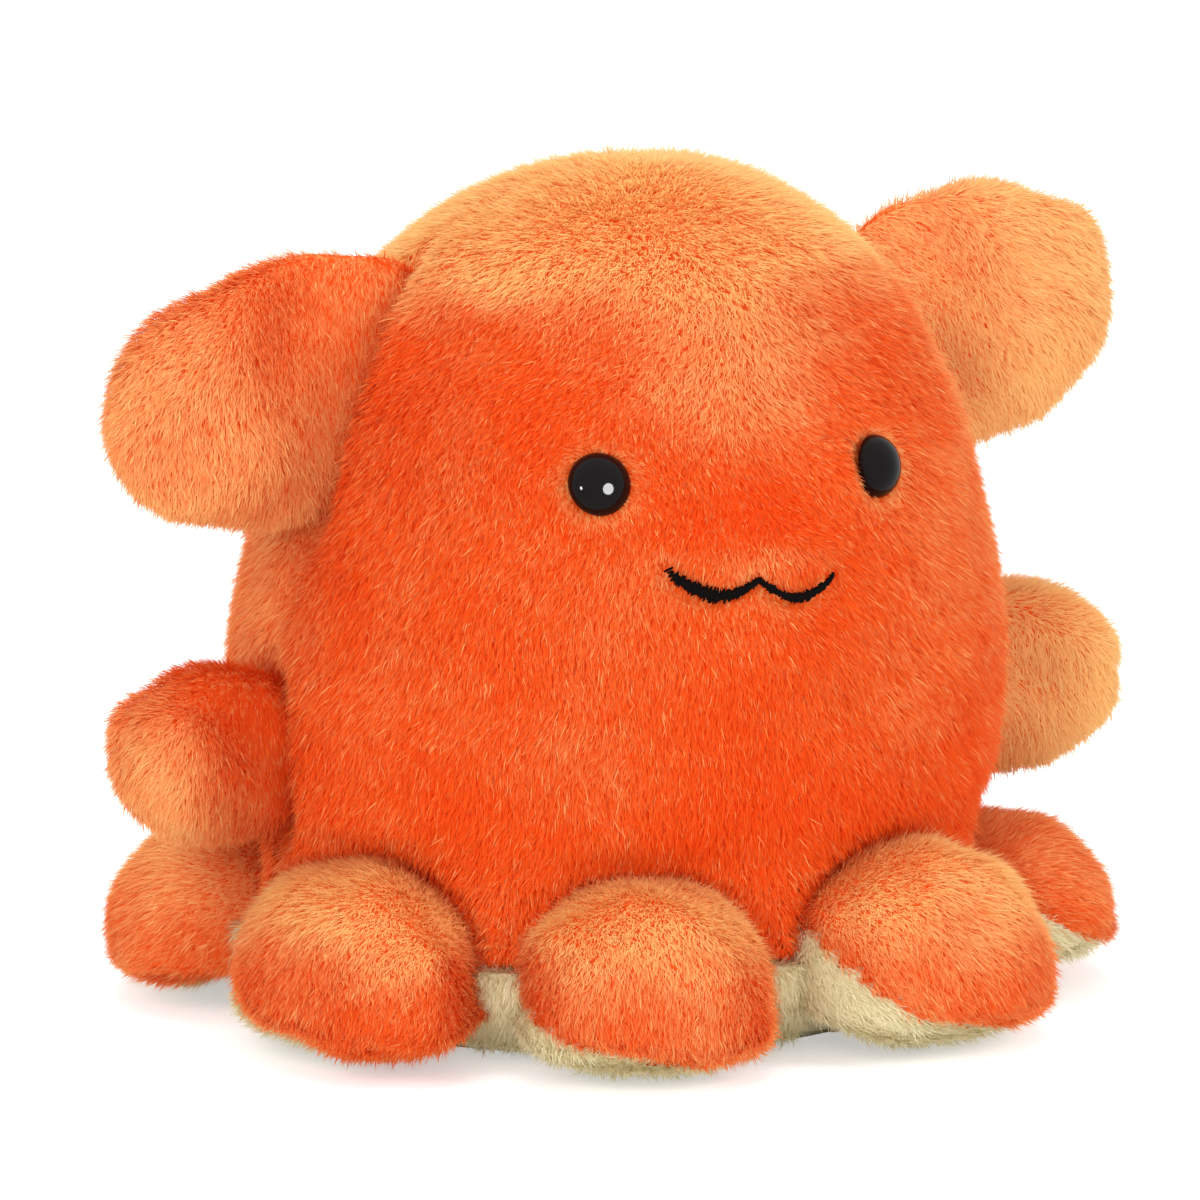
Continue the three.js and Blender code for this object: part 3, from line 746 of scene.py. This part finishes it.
def growPile(name, kind, points, normals, flow, lengthShare, pale, seed, bend=None, floor=None):
    settings = pile[kind]
    dice = np.random.default_rng(seed)
    count = len(points)
    loose = dice.random(count) > hair["tame"]
    length = settings["length"] * lengthShare * dice.uniform(*hair["lengths"], count)
    length = length * (1 + hair["looseLength"] * loose)
    stand = settings["stand"] + lumps(points, {23: hair["standWave"]})
    stand = stand + hair["standNoise"] * dice.normal(size=count)
    stand = np.maximum(stand, hair["leastStand"]) + hair["looseStand"] * loose
    rootWay = unit(normals * stand[:, None] + flow)
    tipWay = unit(normals * (settings["tipStand"] * stand)[:, None] + flow)
    root = points - normals * settings["sink"]
    middle = root + rootWay * (length * 0.5)[:, None]
    tip = middle + tipWay * (length * 0.54)[:, None]
    twist = dice.normal(0, hair["twist"], count)[:, None]
    across = unit(np.cross(rootWay, normals))
    leaf = np.cross(across, rootWay)
    turn, lean = np.cos(twist), np.sin(twist)
    across, leaf = across * turn + leaf * lean, leaf * turn - across * lean
    half = settings["width"] / 2 * dice.uniform(*hair["widths"], count)[:, None]
    strands = np.stack([root, middle - across * half, middle + across * half, tip], axis=1)
    if floor is not None:
        strands[:, :, 2] = np.maximum(strands[:, :, 2], floor)
    shading = unit(normals + hair["leafShade"] * leaf + hair["shadeNoise"] * dice.normal(size=(count, 3)))
    # painted glints and shade specks: a few strands painted paler as glints, a few darker as specks of shade
    glintsAndShadeSpecks = hair["paler"] * (dice.random(count) > hair["plain"])
    glintsAndShadeSpecks = glintsAndShadeSpecks - hair["darker"] * (dice.random(count) > hair["notDark"])
    # tone: the given paleness, which carries painted sheen and shade, soft random unevenness and the painted
    # glints and specks
    tone = pale + lumps(points, hair["drifts"]) + hair["toneNoise"] * dice.normal(size=count) + glintsAndShadeSpecks
    piece = addStrands(name, strands, shading, tone, materials[kind + "Pile"])
    join(piece, **(bend or {}))


def formPile(name, kind, form, keep, comb, tone, seeds, bend=None):  # tone from the points and their normals
    points, normals = sampleRoots(form, pile[kind]["perMm2"], seeds[0])
    kept = keep(points)
    points, normals = points[kept], normals[kept]
    flow = combed(points, normals, comb(points), seeds[1])
    growPile(name, kind, points, normals, flow, 1.0, tone(points, normals), seeds[2], bend, pile["floor"])


def stuffingDepth(kind):  # under the tips of the pile
    return pile[kind]["sink"] + cloth["thickness"] + cloth["stuffingGap"]


def shrunk(form, depth, limbFrame=None):  # the form drawn in, less where a limb is pinched thin
    share = np.ones(len(form["points"]))
    if limbFrame is not None:
        share = pinchAt(limbFrame, toLimb(limbFrame, form["points"])[:, 0])
    return shifted(form, -depth * share)


def cover(name, form, chosen, kind, node, bend):  # a sewn panel under its pile
    panel = clothPanel(name + "_cloth", form, chosen, materials[kind + "Cloth"])
    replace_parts(join(panel, **bend), node)


# what fills the cloth, just inside it
def stuffing(name, form, node, bend, finish="fibre", shape=None):
    points = shape(form["points"].copy()) if shape else form["points"]
    piece = makeMesh(name, points, facesOf(form), materials[finish])
    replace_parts(join(piece, **bend), node)


def standIn(name, points, faces, finish, node):  # a hard or flat piece of the body
    piece = makeMesh(name, points, faces, materials[finish])
    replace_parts(join(piece), node)
    return piece


def join(piece, limb=None, limbFrame=None):
    # a piece rides on the body; a limb's piece has its placement baked into its mesh instead
    if limb is None:
        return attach(piece, "body")
    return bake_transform(piece)


# Body

def bodyGrid():
    columns = body["columns"]
    across = anglesRound(columns)
    rise = np.linspace(math.pi / 2, 0, body["crownRings"] + 1)[1:]
    crown = body["waist"] + (body["height"] - body["waist"]) * np.sin(rise)
    skirt = np.linspace(body["waist"], body["foot"], body["skirtRings"] + 1)[1:]
    skirt = np.sort(np.concatenate([skirt, body["lipRings"]]))[::-1]
    rings = [ontoBody(across, np.full(columns, height)) for height in np.concatenate([crown, skirt])]
    foot = rings[-1]
    middle = np.array([0, -leanAt(body["foot"]), body["foot"]])
    for share in np.linspace(1, 0, body["bottomRings"] + 1)[1:-1]:
        rings.append(middle + (foot - middle) * share)
    top = ontoBody(np.float64(0), np.float64(body["height"]))
    points = np.concatenate([[top], *rings, [middle]])
    return makeForm(points, len(rings), columns)


def flared(form, depth):  # the skirt drawn out between the floor arms, less for what lies deeper
    heights, reaches = (np.array(values) for values in zip(*body["flare"]))
    points = form["points"].copy()
    turn = np.arctan2(points[:, 1], points[:, 0]) - chestAngle
    between = smooth(np.cos(turn * floorArm["count"]), -0.6, 0.35)
    heights, reaches = heights - depth * smooth(heights, 12.3, 15.0), reaches - depth * 0.6 * (reaches > 0)
    out = np.interp(points[:, 2], heights, reaches)
    points[:, :2] += unit(points[:, :2]) * (np.maximum(out, 0) * between)[:, None]
    return withPoints(form, points)


def bodyRelief(points):
    height = points[:, 2]
    fade = relief["seamFade"] * smooth(height, *relief["seamEnd"])
    seamed = smooth(height, *relief["seamStart"]) * (1 - fade)
    depth = lumps(points, relief["lumps"]) + dent(relief["seam"], fromSeam(points)) * seamed
    for side in eyeAxes:
        depth = depth + dent(relief["dimple"], fromEye(points, side))
    depth = depth + dent(relief["besideEye"], fromEye(points - relief["besideEyeAt"], "left"))
    turn = np.arctan2(points[:, 1], points[:, 0])
    flank = smooth(-np.cos(turn - chestAngle), *relief["flank"])
    fill, low, high = body["crownFill"]
    depth = depth + fill * smooth(height, low, high)
    for (fill, level, spread), where in ((body["shoulderFill"], 1.0), (body["flankDraw"], flank)):
        depth = depth + fill * bump(height - level, spread) * where
    front = points[:, 1] < 0
    lipLevel = mouthTop + relief["lipHeight"] * 0.6
    for way in (-1, 1):
        lip = bump(points[:, 0] - muzzleAside - way * mouth["width"] / 4, relief["lipWidth"])
        depth = depth + relief["lipRise"] * lip * bump(height - lipLevel, relief["lipHeight"]) * front
    depth = depth + dent(relief["groove"], fromMouth(points))
    overArm = np.cos((turn - chestAngle) * floorArm["count"] / 2 + math.pi / 2) ** 2
    crease = dent(relief["crease"], height - relief["creaseHeight"]) * overArm
    deep, start, reach = relief["socket"]
    return depth - np.maximum(crease, deep * (1 - smooth(limbGap(points), start, reach)))


bodyPlain = bodyGrid()
offFloor = bodyPlain["points"][:, 2] > body["foot"] + 0.5
bodyPlain = shifted(bodyPlain, bodyRelief(bodyPlain["points"]) * offFloor)
bodyTop = flared(bodyPlain, 0.0)
bodySkin = flared(shrunk(bodyPlain, pile["orange"]["sink"]), pile["orange"]["sink"])


def isFront(points):
    return fromSeam(points) < 0


def bodyPanels():
    halves = {"front": isFront, "back": lambda points: ~isFront(points)}
    for half, chosen in halves.items():
        cover(f"body_{half}", bodySkin, chosen, "orange", f"body_{half}_panel", {})
    inside = shrunk(bodyPlain, stuffingDepth("orange") + cloth["slack"])
    level = cloth["pelletLevel"]

    def above(points):
        points[:, 2] = np.maximum(points[:, 2], level + cloth["pelletGap"])
        return points

    def below(points):
        points[:, 1] += leanAt(points[:, 2]) - leanAt(level)
        widest = bodyRadiusAt(level) - cloth["pelletEdge"]
        share = np.minimum(1, widest / np.maximum(bodyRadiusAt(points[:, 2]), 1))
        points[:, :2] *= np.where(points[:, 2] > level, share, 1.0)[:, None]
        points[:, 2] = np.clip(points[:, 2], body["foot"] + cloth["pelletGap"], level)
        return points

    stuffing("body_stuffing", inside, "body_filling", {}, shape=above)
    stuffing("pellet_pouch", inside, "pellet_bag", {}, "pellets", below)


# pairs: how much and how wide
bodyHair = {
    "lowest": 12.0,
    "fromLimbs": 0.7,
    "fromMouth": 0.6,
    "apart": 0.12,
    "swirl": (0.3, 60.0),
    "fromEyes": (2.2, 5.5),
    "shortAtEyes": (0.45, 2.2),
    "shortAtMouth": (0.55, 2.0),
    "shortOverMouth": (0.2, 16.0),
    "nearLimbs": 0.6,
    "cutHeight": 53.0,
}


def bodyComb(points):
    comb = np.zeros_like(points)
    comb[:, 2] = -1
    comb[:, 0] += bodyHair["apart"] * points[:, 0] / bodyRadius
    turn = np.stack([-points[:, 1], points[:, 0], np.zeros(len(points))], axis=1) / bodyRadius
    comb = comb + turn * lumps(points, {31: bodyHair["swirl"]})[:, None]
    for side in eyeAxes:
        away = unit(points - eyeAxes[side][0])
        comb = comb + away * dent(bodyHair["fromEyes"], fromEye(points, side))[:, None]
    return comb


# the crown is painted paler above these heights as painted sheen, with an uneven edge; the rings are paler
# round the eyes and the mouth
bodyTint = {"plain": 0.26, "crown": 0.84, "crownHeights": (90, 104), "crownEdge": (3, 22.0),
            "eyeRing": (0.22, 1.2), "eyeRingOut": 0.6, "mouthRing": (0.15, 0.9), "mouthRingOut": 1.3}

# painted light and shade: where the body's pile is painted paler or deeper for how the light falls: degrees
# from the chest, height, spread round and up, by how much
bodyPaintedLight = [
    (-5, 87, 17, 8, 0.42),
    (-6, 71, 12, 4.5, -0.14),
    (-6, 66.6, 8, 2.6, 0.34),
    (50, 66, 16, 24, 0.22),
    (-100, 60, 22, 30, 0.3),
    (-10, 50, 30, 9, -0.02),
    (0, 32, 60, 8, -0.14),
]


def bodyTone(points):
    turn = np.arctan2(points[:, 1], points[:, 0]) - chestAngle
    turn = np.arctan2(np.sin(turn), np.cos(turn))
    edge = lumps(points, {33: bodyTint["crownEdge"]})
    # painted sheen on the crown and painted light and shade from the table
    tone = bodyTint["plain"] + bodyTint["crown"] * smooth(points[:, 2] + edge, *bodyTint["crownHeights"])
    for degrees, height, round_, up, strength in bodyPaintedLight:
        aside = (turn - math.radians(degrees)) * bodyRadius / round_
        tone = tone + strength * np.exp(-aside ** 2 - ((points[:, 2] - height) / up) ** 2)
    for side in eyeAxes:
        fromRim = fromEye(points, side) - eyes["radius"]
        tone = tone + dent(bodyTint["eyeRing"], fromRim - bodyTint["eyeRingOut"])
    return tone + dent(bodyTint["mouthRing"], fromMouth(points) - bodyTint["mouthRingOut"])


def bodyPile():
    points, normals = sampleRoots(bodyTop, pile["orange"]["perMm2"], 41)
    keep = (points[:, 2] > bodyHair["lowest"]) & (limbGap(points) > bodyHair["fromLimbs"])
    for side in eyeAxes:
        keep &= fromEye(points, side) > eyes["radius"] - 0.2
    mouthGap = fromMouth(points)
    keep &= mouthGap > bodyHair["fromMouth"]
    points, normals, mouthGap = points[keep], normals[keep], mouthGap[keep]
    flow = combed(points, normals, bodyComb(points), 42)
    share = np.ones(len(points))
    for side in eyeAxes:
        share *= 1 - dent(bodyHair["shortAtEyes"], fromEye(points, side) - eyes["radius"])
    share *= 1 - dent(bodyHair["shortAtMouth"], mouthGap)
    share *= 1 - dent(bodyHair["shortOverMouth"], np.linalg.norm(points - mouthLine[60], axis=1))
    share *= bodyHair["nearLimbs"] + (1 - bodyHair["nearLimbs"]) * smooth(limbGap(points), 1.0, 2.0)
    tone = bodyTone(points)
    halves = (("front", "back", isFront(points)), ("crown", "skirt", points[:, 2] > bodyHair["cutHeight"]),
              ("left", "right", points[:, 0] > 0))
    for order in range(2 ** len(halves)):
        words, chosen = [], np.ones(len(points), bool)
        for bit, (word, other, inside) in enumerate(halves):
            flag = order >> bit & 1
            words.append(other if flag else word)
            chosen &= inside != flag
        growPile(f"body_{'_'.join(words)}_pile", "orange", points[chosen], normals[chosen], flow[chosen],
                 share[chosen], tone[chosen], 43 + order, floor=0.3)


bodyPanels()
bodyPile()
print("body made")


# Floor arms

def limbComb(limbFrame, out, drop, axis):  # out from the root, down, and apart along one axis
    def comb(points):
        apart = toLimb(limbFrame, points)[:, axis, None] / limbFrame["sizes"][axis]
        return limbFrame["axes"][0] * out - [0, 0, drop] + limbFrame["axes"][axis] * apart * 0.5

    return comb


def seamDistance(number, points):  # height over the seam between cover and sole, square to it
    limbFrame = armFrames[number]
    seamRoot, seamTip = floorArm["seams"].get(number, floorArm["plainSeam"])
    local = toLimb(limbFrame, points)
    slope = math.atan2(seamRoot - seamTip, floorArm["length"])
    twist = math.radians(floorArm["seamTwist"])
    rise = local[:, 2] + limbFrame["hinge"][2] - seamRoot
    across = rise * math.cos(twist) + local[:, 1] * math.sin(twist)
    return local[:, 0] * math.sin(slope) + across * math.cos(slope)


def armForm(number, inset=0.0):
    limbFrame = armFrames[number]
    sizes = limbFrame["sizes"] - inset
    local = plumpPoints({**limbFrame, "sizes": sizes}, floorArm["rings"], floorArm["columns"], 2)
    shape = floorArm["shapes"].get(number, {})
    outward = smooth(local[:, 0], -2.0, floorArm["length"])
    local[:, 0] += outward * shape.get("stretch", 0.0)
    local[:, 1] = local[:, 1] * shape.get("widen", 1.0) + outward * shape.get("sway", 0.0)
    level = limbFrame["middle"][2]
    under = shape.get("under", floorArm["soleGap"])
    lowest = floorArm["rootArch"] + (under - floorArm["rootArch"]) * smooth(local[:, 0], -5.0, 9.0)
    rise = local[:, 2] - level
    local[:, 2] = level + np.where(rise < 0, rise * (floorArm["waist"] - lowest - inset) / sizes[2], rise)
    local[:, 2] += shape.get("plump", 0.0) * smooth(rise, 4.0, limbFrame["sizes"][2])
    form = makeForm(toWorld(limbFrame, local), floorArm["rings"], floorArm["columns"])
    points = form["points"]
    depth = lumps(points, {60 + number: floorArm["lump"]})
    depth = depth + dent(floorArm["seamGroove"], seamDistance(number, points))
    depth = depth * smooth(points[:, 2], 1.0, 4.0)
    return shifted(form, depth)


def makeFloorArm(number):
    name = f"floor_arm_{number}"
    limbFrame = armFrames[number]
    form = armForm(number)
    skin = shrunk(form, pile["cream"]["sink"])
    skin["points"][:, 2] = np.maximum(skin["points"][:, 2], floorArm["soleGap"])
    sides = {"cover": ("orange", lambda points: seamDistance(number, points) > 0),
             "sole": ("cream", lambda points: seamDistance(number, points) <= 0)}
    bend = {"limb": name, "limbFrame": limbFrame}
    inside = armForm(number, stuffingDepth("cream"))
    stuffing(f"{name}_stuffing", inside, f"{name}_filling", bend)
    paler = floorArm["pale"].get(number, floorArm["plainPale"])
    for part, (kind, chosen) in sides.items():
        cover(f"{name}_{part}", skin, chosen, kind, f"{name}_{part}", bend)

        def keep(points):
            kept = chosen(points) & (bodyShare(points) > floorArm["hairFrom"])
            if part == "sole":
                few = np.random.default_rng(number).random(len(points)) < floorArm["soleHairs"]
                kept &= (points[:, 2] > 1.0) | few
            return kept

        # painted sheen: the cover's pile is painted paler where it faces up
        def tone(points, normals):
            return 0.4 + (paler if part == "cover" else 0.0) * smooth(normals[:, 2], 0.1, 0.8)

        formPile(f"{name}_{part}_pile", kind, form, keep, limbComb(limbFrame, **floorArm["comb"]), tone,
                 (70 + number, 80 + number, 90 + number), bend)


for number in armFrames:
    makeFloorArm(number)
print("floor arms made")


# Ears and raised side arms

def makePaddle(name, side, limb, limbFrame, seed):
    paintedLight = limb["paintedLight"][side]
    softer = {**limbFrame, "squareness": limb["roundness"]}
    local = plumpPoints(softer, paddle["rings"], paddle["columns"], 1) * limb["scale"][side]
    top = smooth(local[:, 2], 0.0, limbFrame["sizes"][2])
    local[:, 2] += dent(limb["rootFill"], local[:, 0] - paddle["fillAt"]) * top
    form = makeForm(toWorld(limbFrame, local), paddle["rings"], paddle["columns"])
    aside = toLimb(limbFrame, form["points"])[:, 1]
    groove = dent(paddle["seamGroove"], aside) * smooth(local[:, 0], 0.0, 8.0)
    depth = lumps(form["points"], {seed: paddle["lump"]}) + groove
    form = shifted(form, depth)
    skin = shrunk(form, pile["orange"]["sink"], limbFrame)
    bend = {"limb": name, "limbFrame": limbFrame}
    inside = shrunk(form, stuffingDepth("orange"), limbFrame)
    stuffing(f"{name}_stuffing", inside, f"{name}_filling", bend)
    halves = {"front": lambda points: points[:, 1] < limbFrame["hinge"][1],
              "back": lambda points: points[:, 1] >= limbFrame["hinge"][1]}

    # painted sheen and shade: from the root's paleness to the tip's, towards the outer end and the lower edge
    def tone(points, normals):
        local = toLimb(limbFrame, points)
        outer = smooth(local[:, 0] - 0.9 * local[:, 2], -8.0, 22.0)
        return paintedLight["root"] + (paintedLight["tip"] - paintedLight["root"]) * outer

    for half, chosen in halves.items():
        cover(f"{name}_{half}", skin, chosen, "orange", f"{name}_{half}_panel", bend)
        formPile(f"{name}_{half}_pile", "orange", form,
                 lambda points: chosen(points) & (bodyShare(points) > paddle["hairFrom"]),
                 limbComb(limbFrame, **paddle["comb"]), tone, (seed + 1, seed + 2, seed + 3), bend)


for order, side in enumerate(eyeAxes):
    makePaddle(f"{side}_ear", side, ear, earFrames[side], 200 + 20 * order)
    makePaddle(f"{side}_arm", side, sideArm, sideArmFrames[side], 300 + 20 * order)
print("ears and side arms made")


# Base panel and the webs between the floor arms

def webRows(angle):
    # the web's outline, distance out against height: it rises from the base panel and meets the orange lip
    foot = float(np.hypot(*ontoBody(np.asarray(latheTurn(angle)), np.asarray(body["foot"] + 0.3))[:2]))
    edge = foot + web["reach"]
    return [(foot - 4, 0.8), (foot, 0.8), (foot + web["reach"] / 2, 1.6), (edge - 2.5, web["arch"] - 3.2),
            (edge - 0.6, web["arch"] - 0.6), (edge, web["arch"] + 2), (edge - 0.4, web["lip"] - 0.4),
            (edge - 1.8, web["lip"] + 0.2), (edge - 4, web["lip"] - 0.6), (foot - 4, 8)]


def makeWeb(number):
    angle = chestAngle + number * 2 * math.pi / floorArm["count"]
    outline = np.array(webRows(angle))
    lengths = np.concatenate([[0], np.cumsum(np.linalg.norm(np.diff(outline, axis=0), axis=1))])
    at = np.linspace(0, lengths[-1], web["steps"])
    radii = np.interp(at, lengths, outline[:, 0])
    heights = np.interp(at, lengths, outline[:, 1])
    width = math.pi / floorArm["count"] * web["spread"]
    ways = angle + np.linspace(-1, 1, web["turns"]) * width
    points = [np.stack([radii * math.cos(way), radii * math.sin(way), heights], axis=1) for way in ways]
    first, last = points[0].mean(axis=0), points[-1].mean(axis=0)
    form = makeForm(np.concatenate([[first], *points, [last]]), len(ways), web["steps"])
    name = f"web_{number + 1}"
    skin = form["points"] - form["normals"] * (pile["cream"]["sink"] * 0.7)
    piece = makeMesh(name + "_cloth", skin, facesOf(form), materials["creamCloth"])
    join(piece)
    formPile(name + "_pile", "cream", form,
             lambda points: limbGap(points, armFrames.values()) > web["hairFrom"],
             lambda points: points * [web["outComb"], web["outComb"], 0] - [0, 0, 1],
             lambda points, normals: web["tone"], (400 + number, 420 + number, 440 + number))


for number in range(floorArm["count"]):
    makeWeb(number)


def makeBase():
    # the flat cream underside, rounded at its edge
    radius = bodyRadius - body["tuck"]
    profile = [(radius - 1.0, 3.0), (radius, 2.2), (radius, 1.0), (radius - 1.0, 0.0), (radius * 0.66, 0.0),
               (radius * 0.33, 0.0)]
    columns = 120
    turn = anglesRound(columns)
    rings = [np.stack([r * np.cos(turn), r * depthShare * np.sin(turn), np.full(columns, z)], axis=1)
             for r, z in profile]
    points = np.concatenate([[[0, 0, 3.0]], *rings, [[0, 0, 0.0]]])
    form = makeForm(points, len(rings), columns)
    standIn("base_panel_cloth", points, facesOf(form), "creamCloth", "base_panel")


makeBase()
print("base and webs made")


# Eyes

def makeEye(side):
    centre, outward = eyeAxes[side]
    aside = unit(np.cross(outward, [0, 0, 1]))
    upward = np.cross(aside, outward)
    dome = np.linspace(0, math.pi / 2, eyes["domeRings"] + 1)[1:]
    profile = [(eyes["radius"] * math.sin(a), eyes["rise"] * math.cos(a)) for a in dome]
    shank, rib = eyes["shank"], eyes["rib"]
    profile += [(eyes["radius"] - 0.15, -0.25), (shank, -0.3), (shank, -3.4), (rib, -3.6), (rib, -4.0),
                (shank, -4.2), (shank, -4.4), (rib, -4.6), (rib, -5.0), (shank, -5.2), (shank, -5.7)]
    turn = anglesRound(eyes["columns"])
    rings = [centre + r * (np.cos(turn)[:, None] * aside + np.sin(turn)[:, None] * upward) + z * outward
             for r, z in profile]
    tip = centre + outward * eyes["rise"]
    end = centre + outward * profile[-1][1]
    form = makeForm(np.concatenate([[tip], *rings, [end]]), len(rings), eyes["columns"])
    return standIn(f"{side}_eye_dome", form["points"], facesOf(form), "eye", f"{side}_eye")


eyeDomes = {side: makeEye(side) for side in eyeAxes}


# Mouth: satin stitches laid side by side across the line

def makeMouth():
    dice = np.random.default_rng(mouth["seed"])
    steps, sides = 7, 5
    points, faces = [], []
    for number in range(mouth["stitches"]):
        along = -1 + 2 * (number + 0.5) / mouth["stitches"]
        here, ahead, behind = (bodyPoint(*mouthPoint(np.float64(place)))
                               for place in (along, min(along + 0.02, 1.0), max(along - 0.02, -1.0)))
        normal = bodyNormal(*mouthPoint(np.float64(along)))
        line = unit(ahead - behind)
        slant, uneven = mouth["slant"]
        across = unit(np.cross(normal, line) + line * (slant + uneven * dice.normal()))
        half = np.interp(along, *zip(*mouth["band"])) / 2 * dice.uniform(*mouth["spans"])
        thread = mouth["thread"] * dice.uniform(*mouth["threads"])
        for step in range(steps):
            share = step / (steps - 1) * 2 - 1
            arch = mouth["arch"] * math.sqrt(max(1 - share * share, 0)) - mouth["sunk"]
            middle = here + across * half * share + normal * (mouth["proud"] + arch)
            girth = thread * (mouth["endGirth"] if abs(share) > 0.99 else 1.0) * mouth["girth"]
            for k in range(sides):
                turn = 2 * math.pi * k / sides
                points.append(middle + line * girth * math.cos(turn) + normal * girth * math.sin(turn))
        start = number * steps * sides
        for step in range(steps - 1):
            for k in range(sides):
                a = start + step * sides + k
                b = start + step * sides + (k + 1) % sides
                faces.append([a, b, b + sides, a + sides])
        faces.append([start + k for k in reversed(range(sides))])
        faces.append([start + (steps - 1) * sides + k for k in range(sides)])
    standIn("mouth_satin_stitch", np.array(points), faces, "thread", "mouth_stitching")


makeMouth()
print("face made")


# What stays inside the toy keeps its own shape and takes a finish

for nodeName, node in frame["nodes"].items():
    for finish in ("washer", "patch"):
        if nodeName.endswith(finish):
            node.data.materials.clear()
            node.data.materials.append(materials[finish])


# Floor, light and camera

studio = {
    "world": 0.76,
    "floor": {"size": 3.0, "tone": 0.86, "glow": 0.45},
    "lamps": {
        "key": {"place": (0.6, -0.65, 0.5), "size": 0.5, "watts": 3.0, "glossy": False},
        "fill": {"place": (-0.85, -0.5, 0.45), "size": 0.8, "watts": 4.8, "glossy": False},
        "front": {"place": (-0.35, -0.95, 0.3), "size": 0.8, "watts": 2.3, "glossy": False},
        "top": {"place": (0.0, 0.1, 0.95), "size": 0.7, "watts": 3.4, "glossy": False},
        # two small lights that only glint on the octopus's right eye
        "glint": {"place": (0.05, -0.34, 0.099), "size": 0.18, "watts": 5.0, "glossy": True},
        "smallGlint": {"place": (-0.9, -0.25, 0.12), "size": 0.16, "watts": 5.0, "glossy": True},
    },
}


def makeFloor():
    floor = studio["floor"]
    material, tree, shader = newMaterial("paleFloor")
    feed(tree, shader, {"Base Color": (*[floor["tone"]] * 3, 1), "Roughness": 0.9, "Specular IOR Level": 0.0})
    glow = addNode(tree, "ShaderNodeEmission", {"Color": (1, 1, 1, 1), "Strength": floor["glow"]})
    both = addNode(tree, "ShaderNodeAddShader", {0: shader.outputs[0], 1: glow.outputs[0]}).outputs[0]
    path = addNode(tree, "ShaderNodeLightPath").outputs
    seen = maths(tree, "MAXIMUM", path["Is Camera Ray"], path["Is Transmission Ray"])
    white = addNode(tree, "ShaderNodeEmission", {"Color": (1, 1, 1, 1), "Strength": 1.0}).outputs[0]
    choice = mixShaders(tree, seen, shader.outputs[0], both)
    choice = mixShaders(tree, path["Is Glossy Ray"], choice, white)
    feed(tree, tree.nodes["Material Output"], {"Surface": choice})
    half = floor["size"] / 2 / metresPerMm
    corners = np.array([[-half, -half, 0], [half, -half, 0], [half, half, 0], [-half, half, 0]])
    makeMesh("floor", corners, [[0, 1, 2, 3]], material)


def makeWorld():
    world = bpy.data.worlds.new("studio")
    bpy.context.scene.world = world
    world.use_nodes = True
    tree = world.node_tree
    path = addNode(tree, "ShaderNodeLightPath").outputs
    seen = maths(tree, "MAXIMUM", path["Is Camera Ray"], path["Is Glossy Ray"])
    seen = maths(tree, "MAXIMUM", seen, path["Is Transmission Ray"])
    plain = tree.nodes["Background"]
    feed(tree, plain, {"Color": (1, 1, 1, 1), "Strength": studio["world"]})
    white = addNode(tree, "ShaderNodeBackground", {"Color": (1, 1, 1, 1), "Strength": 1.0})
    choice = mixShaders(tree, seen, plain.outputs[0], white.outputs[0])
    feed(tree, tree.nodes["World Output"], {"Surface": choice})


def makeLamp(name):
    settings = studio["lamps"][name]
    lamp = bpy.data.lights.new(name, "AREA")
    lamp.energy = settings["watts"]
    lamp.shape = "DISK"
    lamp.size = settings["size"]
    piece = newPiece(name, lamp)
    piece.visible_camera = False
    piece.visible_glossy = settings["glossy"]
    if settings["glossy"]:
        piece.visible_diffuse = False
        piece.light_linking.receiver_collection = eyeGroup
    piece.location = settings["place"]
    aim = Vector((0, 0, 0.05)) - piece.location
    piece.rotation_euler = aim.to_track_quat("-Z", "Y").to_euler()


def makeCamera():
    yaw, rise = math.radians(camera["yaw"]), math.radians(camera["elevation"])
    back = Vector((-math.sin(yaw) * math.cos(rise), -math.cos(yaw) * math.cos(rise), math.sin(rise)))
    turn = (-back).to_track_quat("-Z", "Y")
    right, upward = turn @ Vector((1, 0, 0)), turn @ Vector((0, 1, 0))
    middle = camera["framePixels"] / 2
    aim = right * (middle - camera["groundX"]) + upward * (camera["groundY"] - middle)
    aim = aim * camera["mmPerPixel"] * metresPerMm
    lens = bpy.data.cameras.new("camera")
    lens.sensor_width = 36.0
    lens.lens = 36.0 * camera["distance"] / (camera["framePixels"] * camera["mmPerPixel"])
    lens.clip_start, lens.clip_end = 0.01, 20.0
    piece = newPiece("camera", lens)
    piece.location = aim + back * camera["distance"] * metresPerMm
    piece.rotation_mode = "QUATERNION"
    piece.rotation_quaternion = turn
    bpy.context.scene.camera = piece


makeFloor()
makeWorld()
eyeGroup = bpy.data.collections.new("eyes")
eyeGroup.objects.link(eyeDomes["right"])
for lampName in studio["lamps"]:
    makeLamp(lampName)
makeCamera()
bpy.context.scene.view_settings.view_transform = "Standard"
print("studio made")
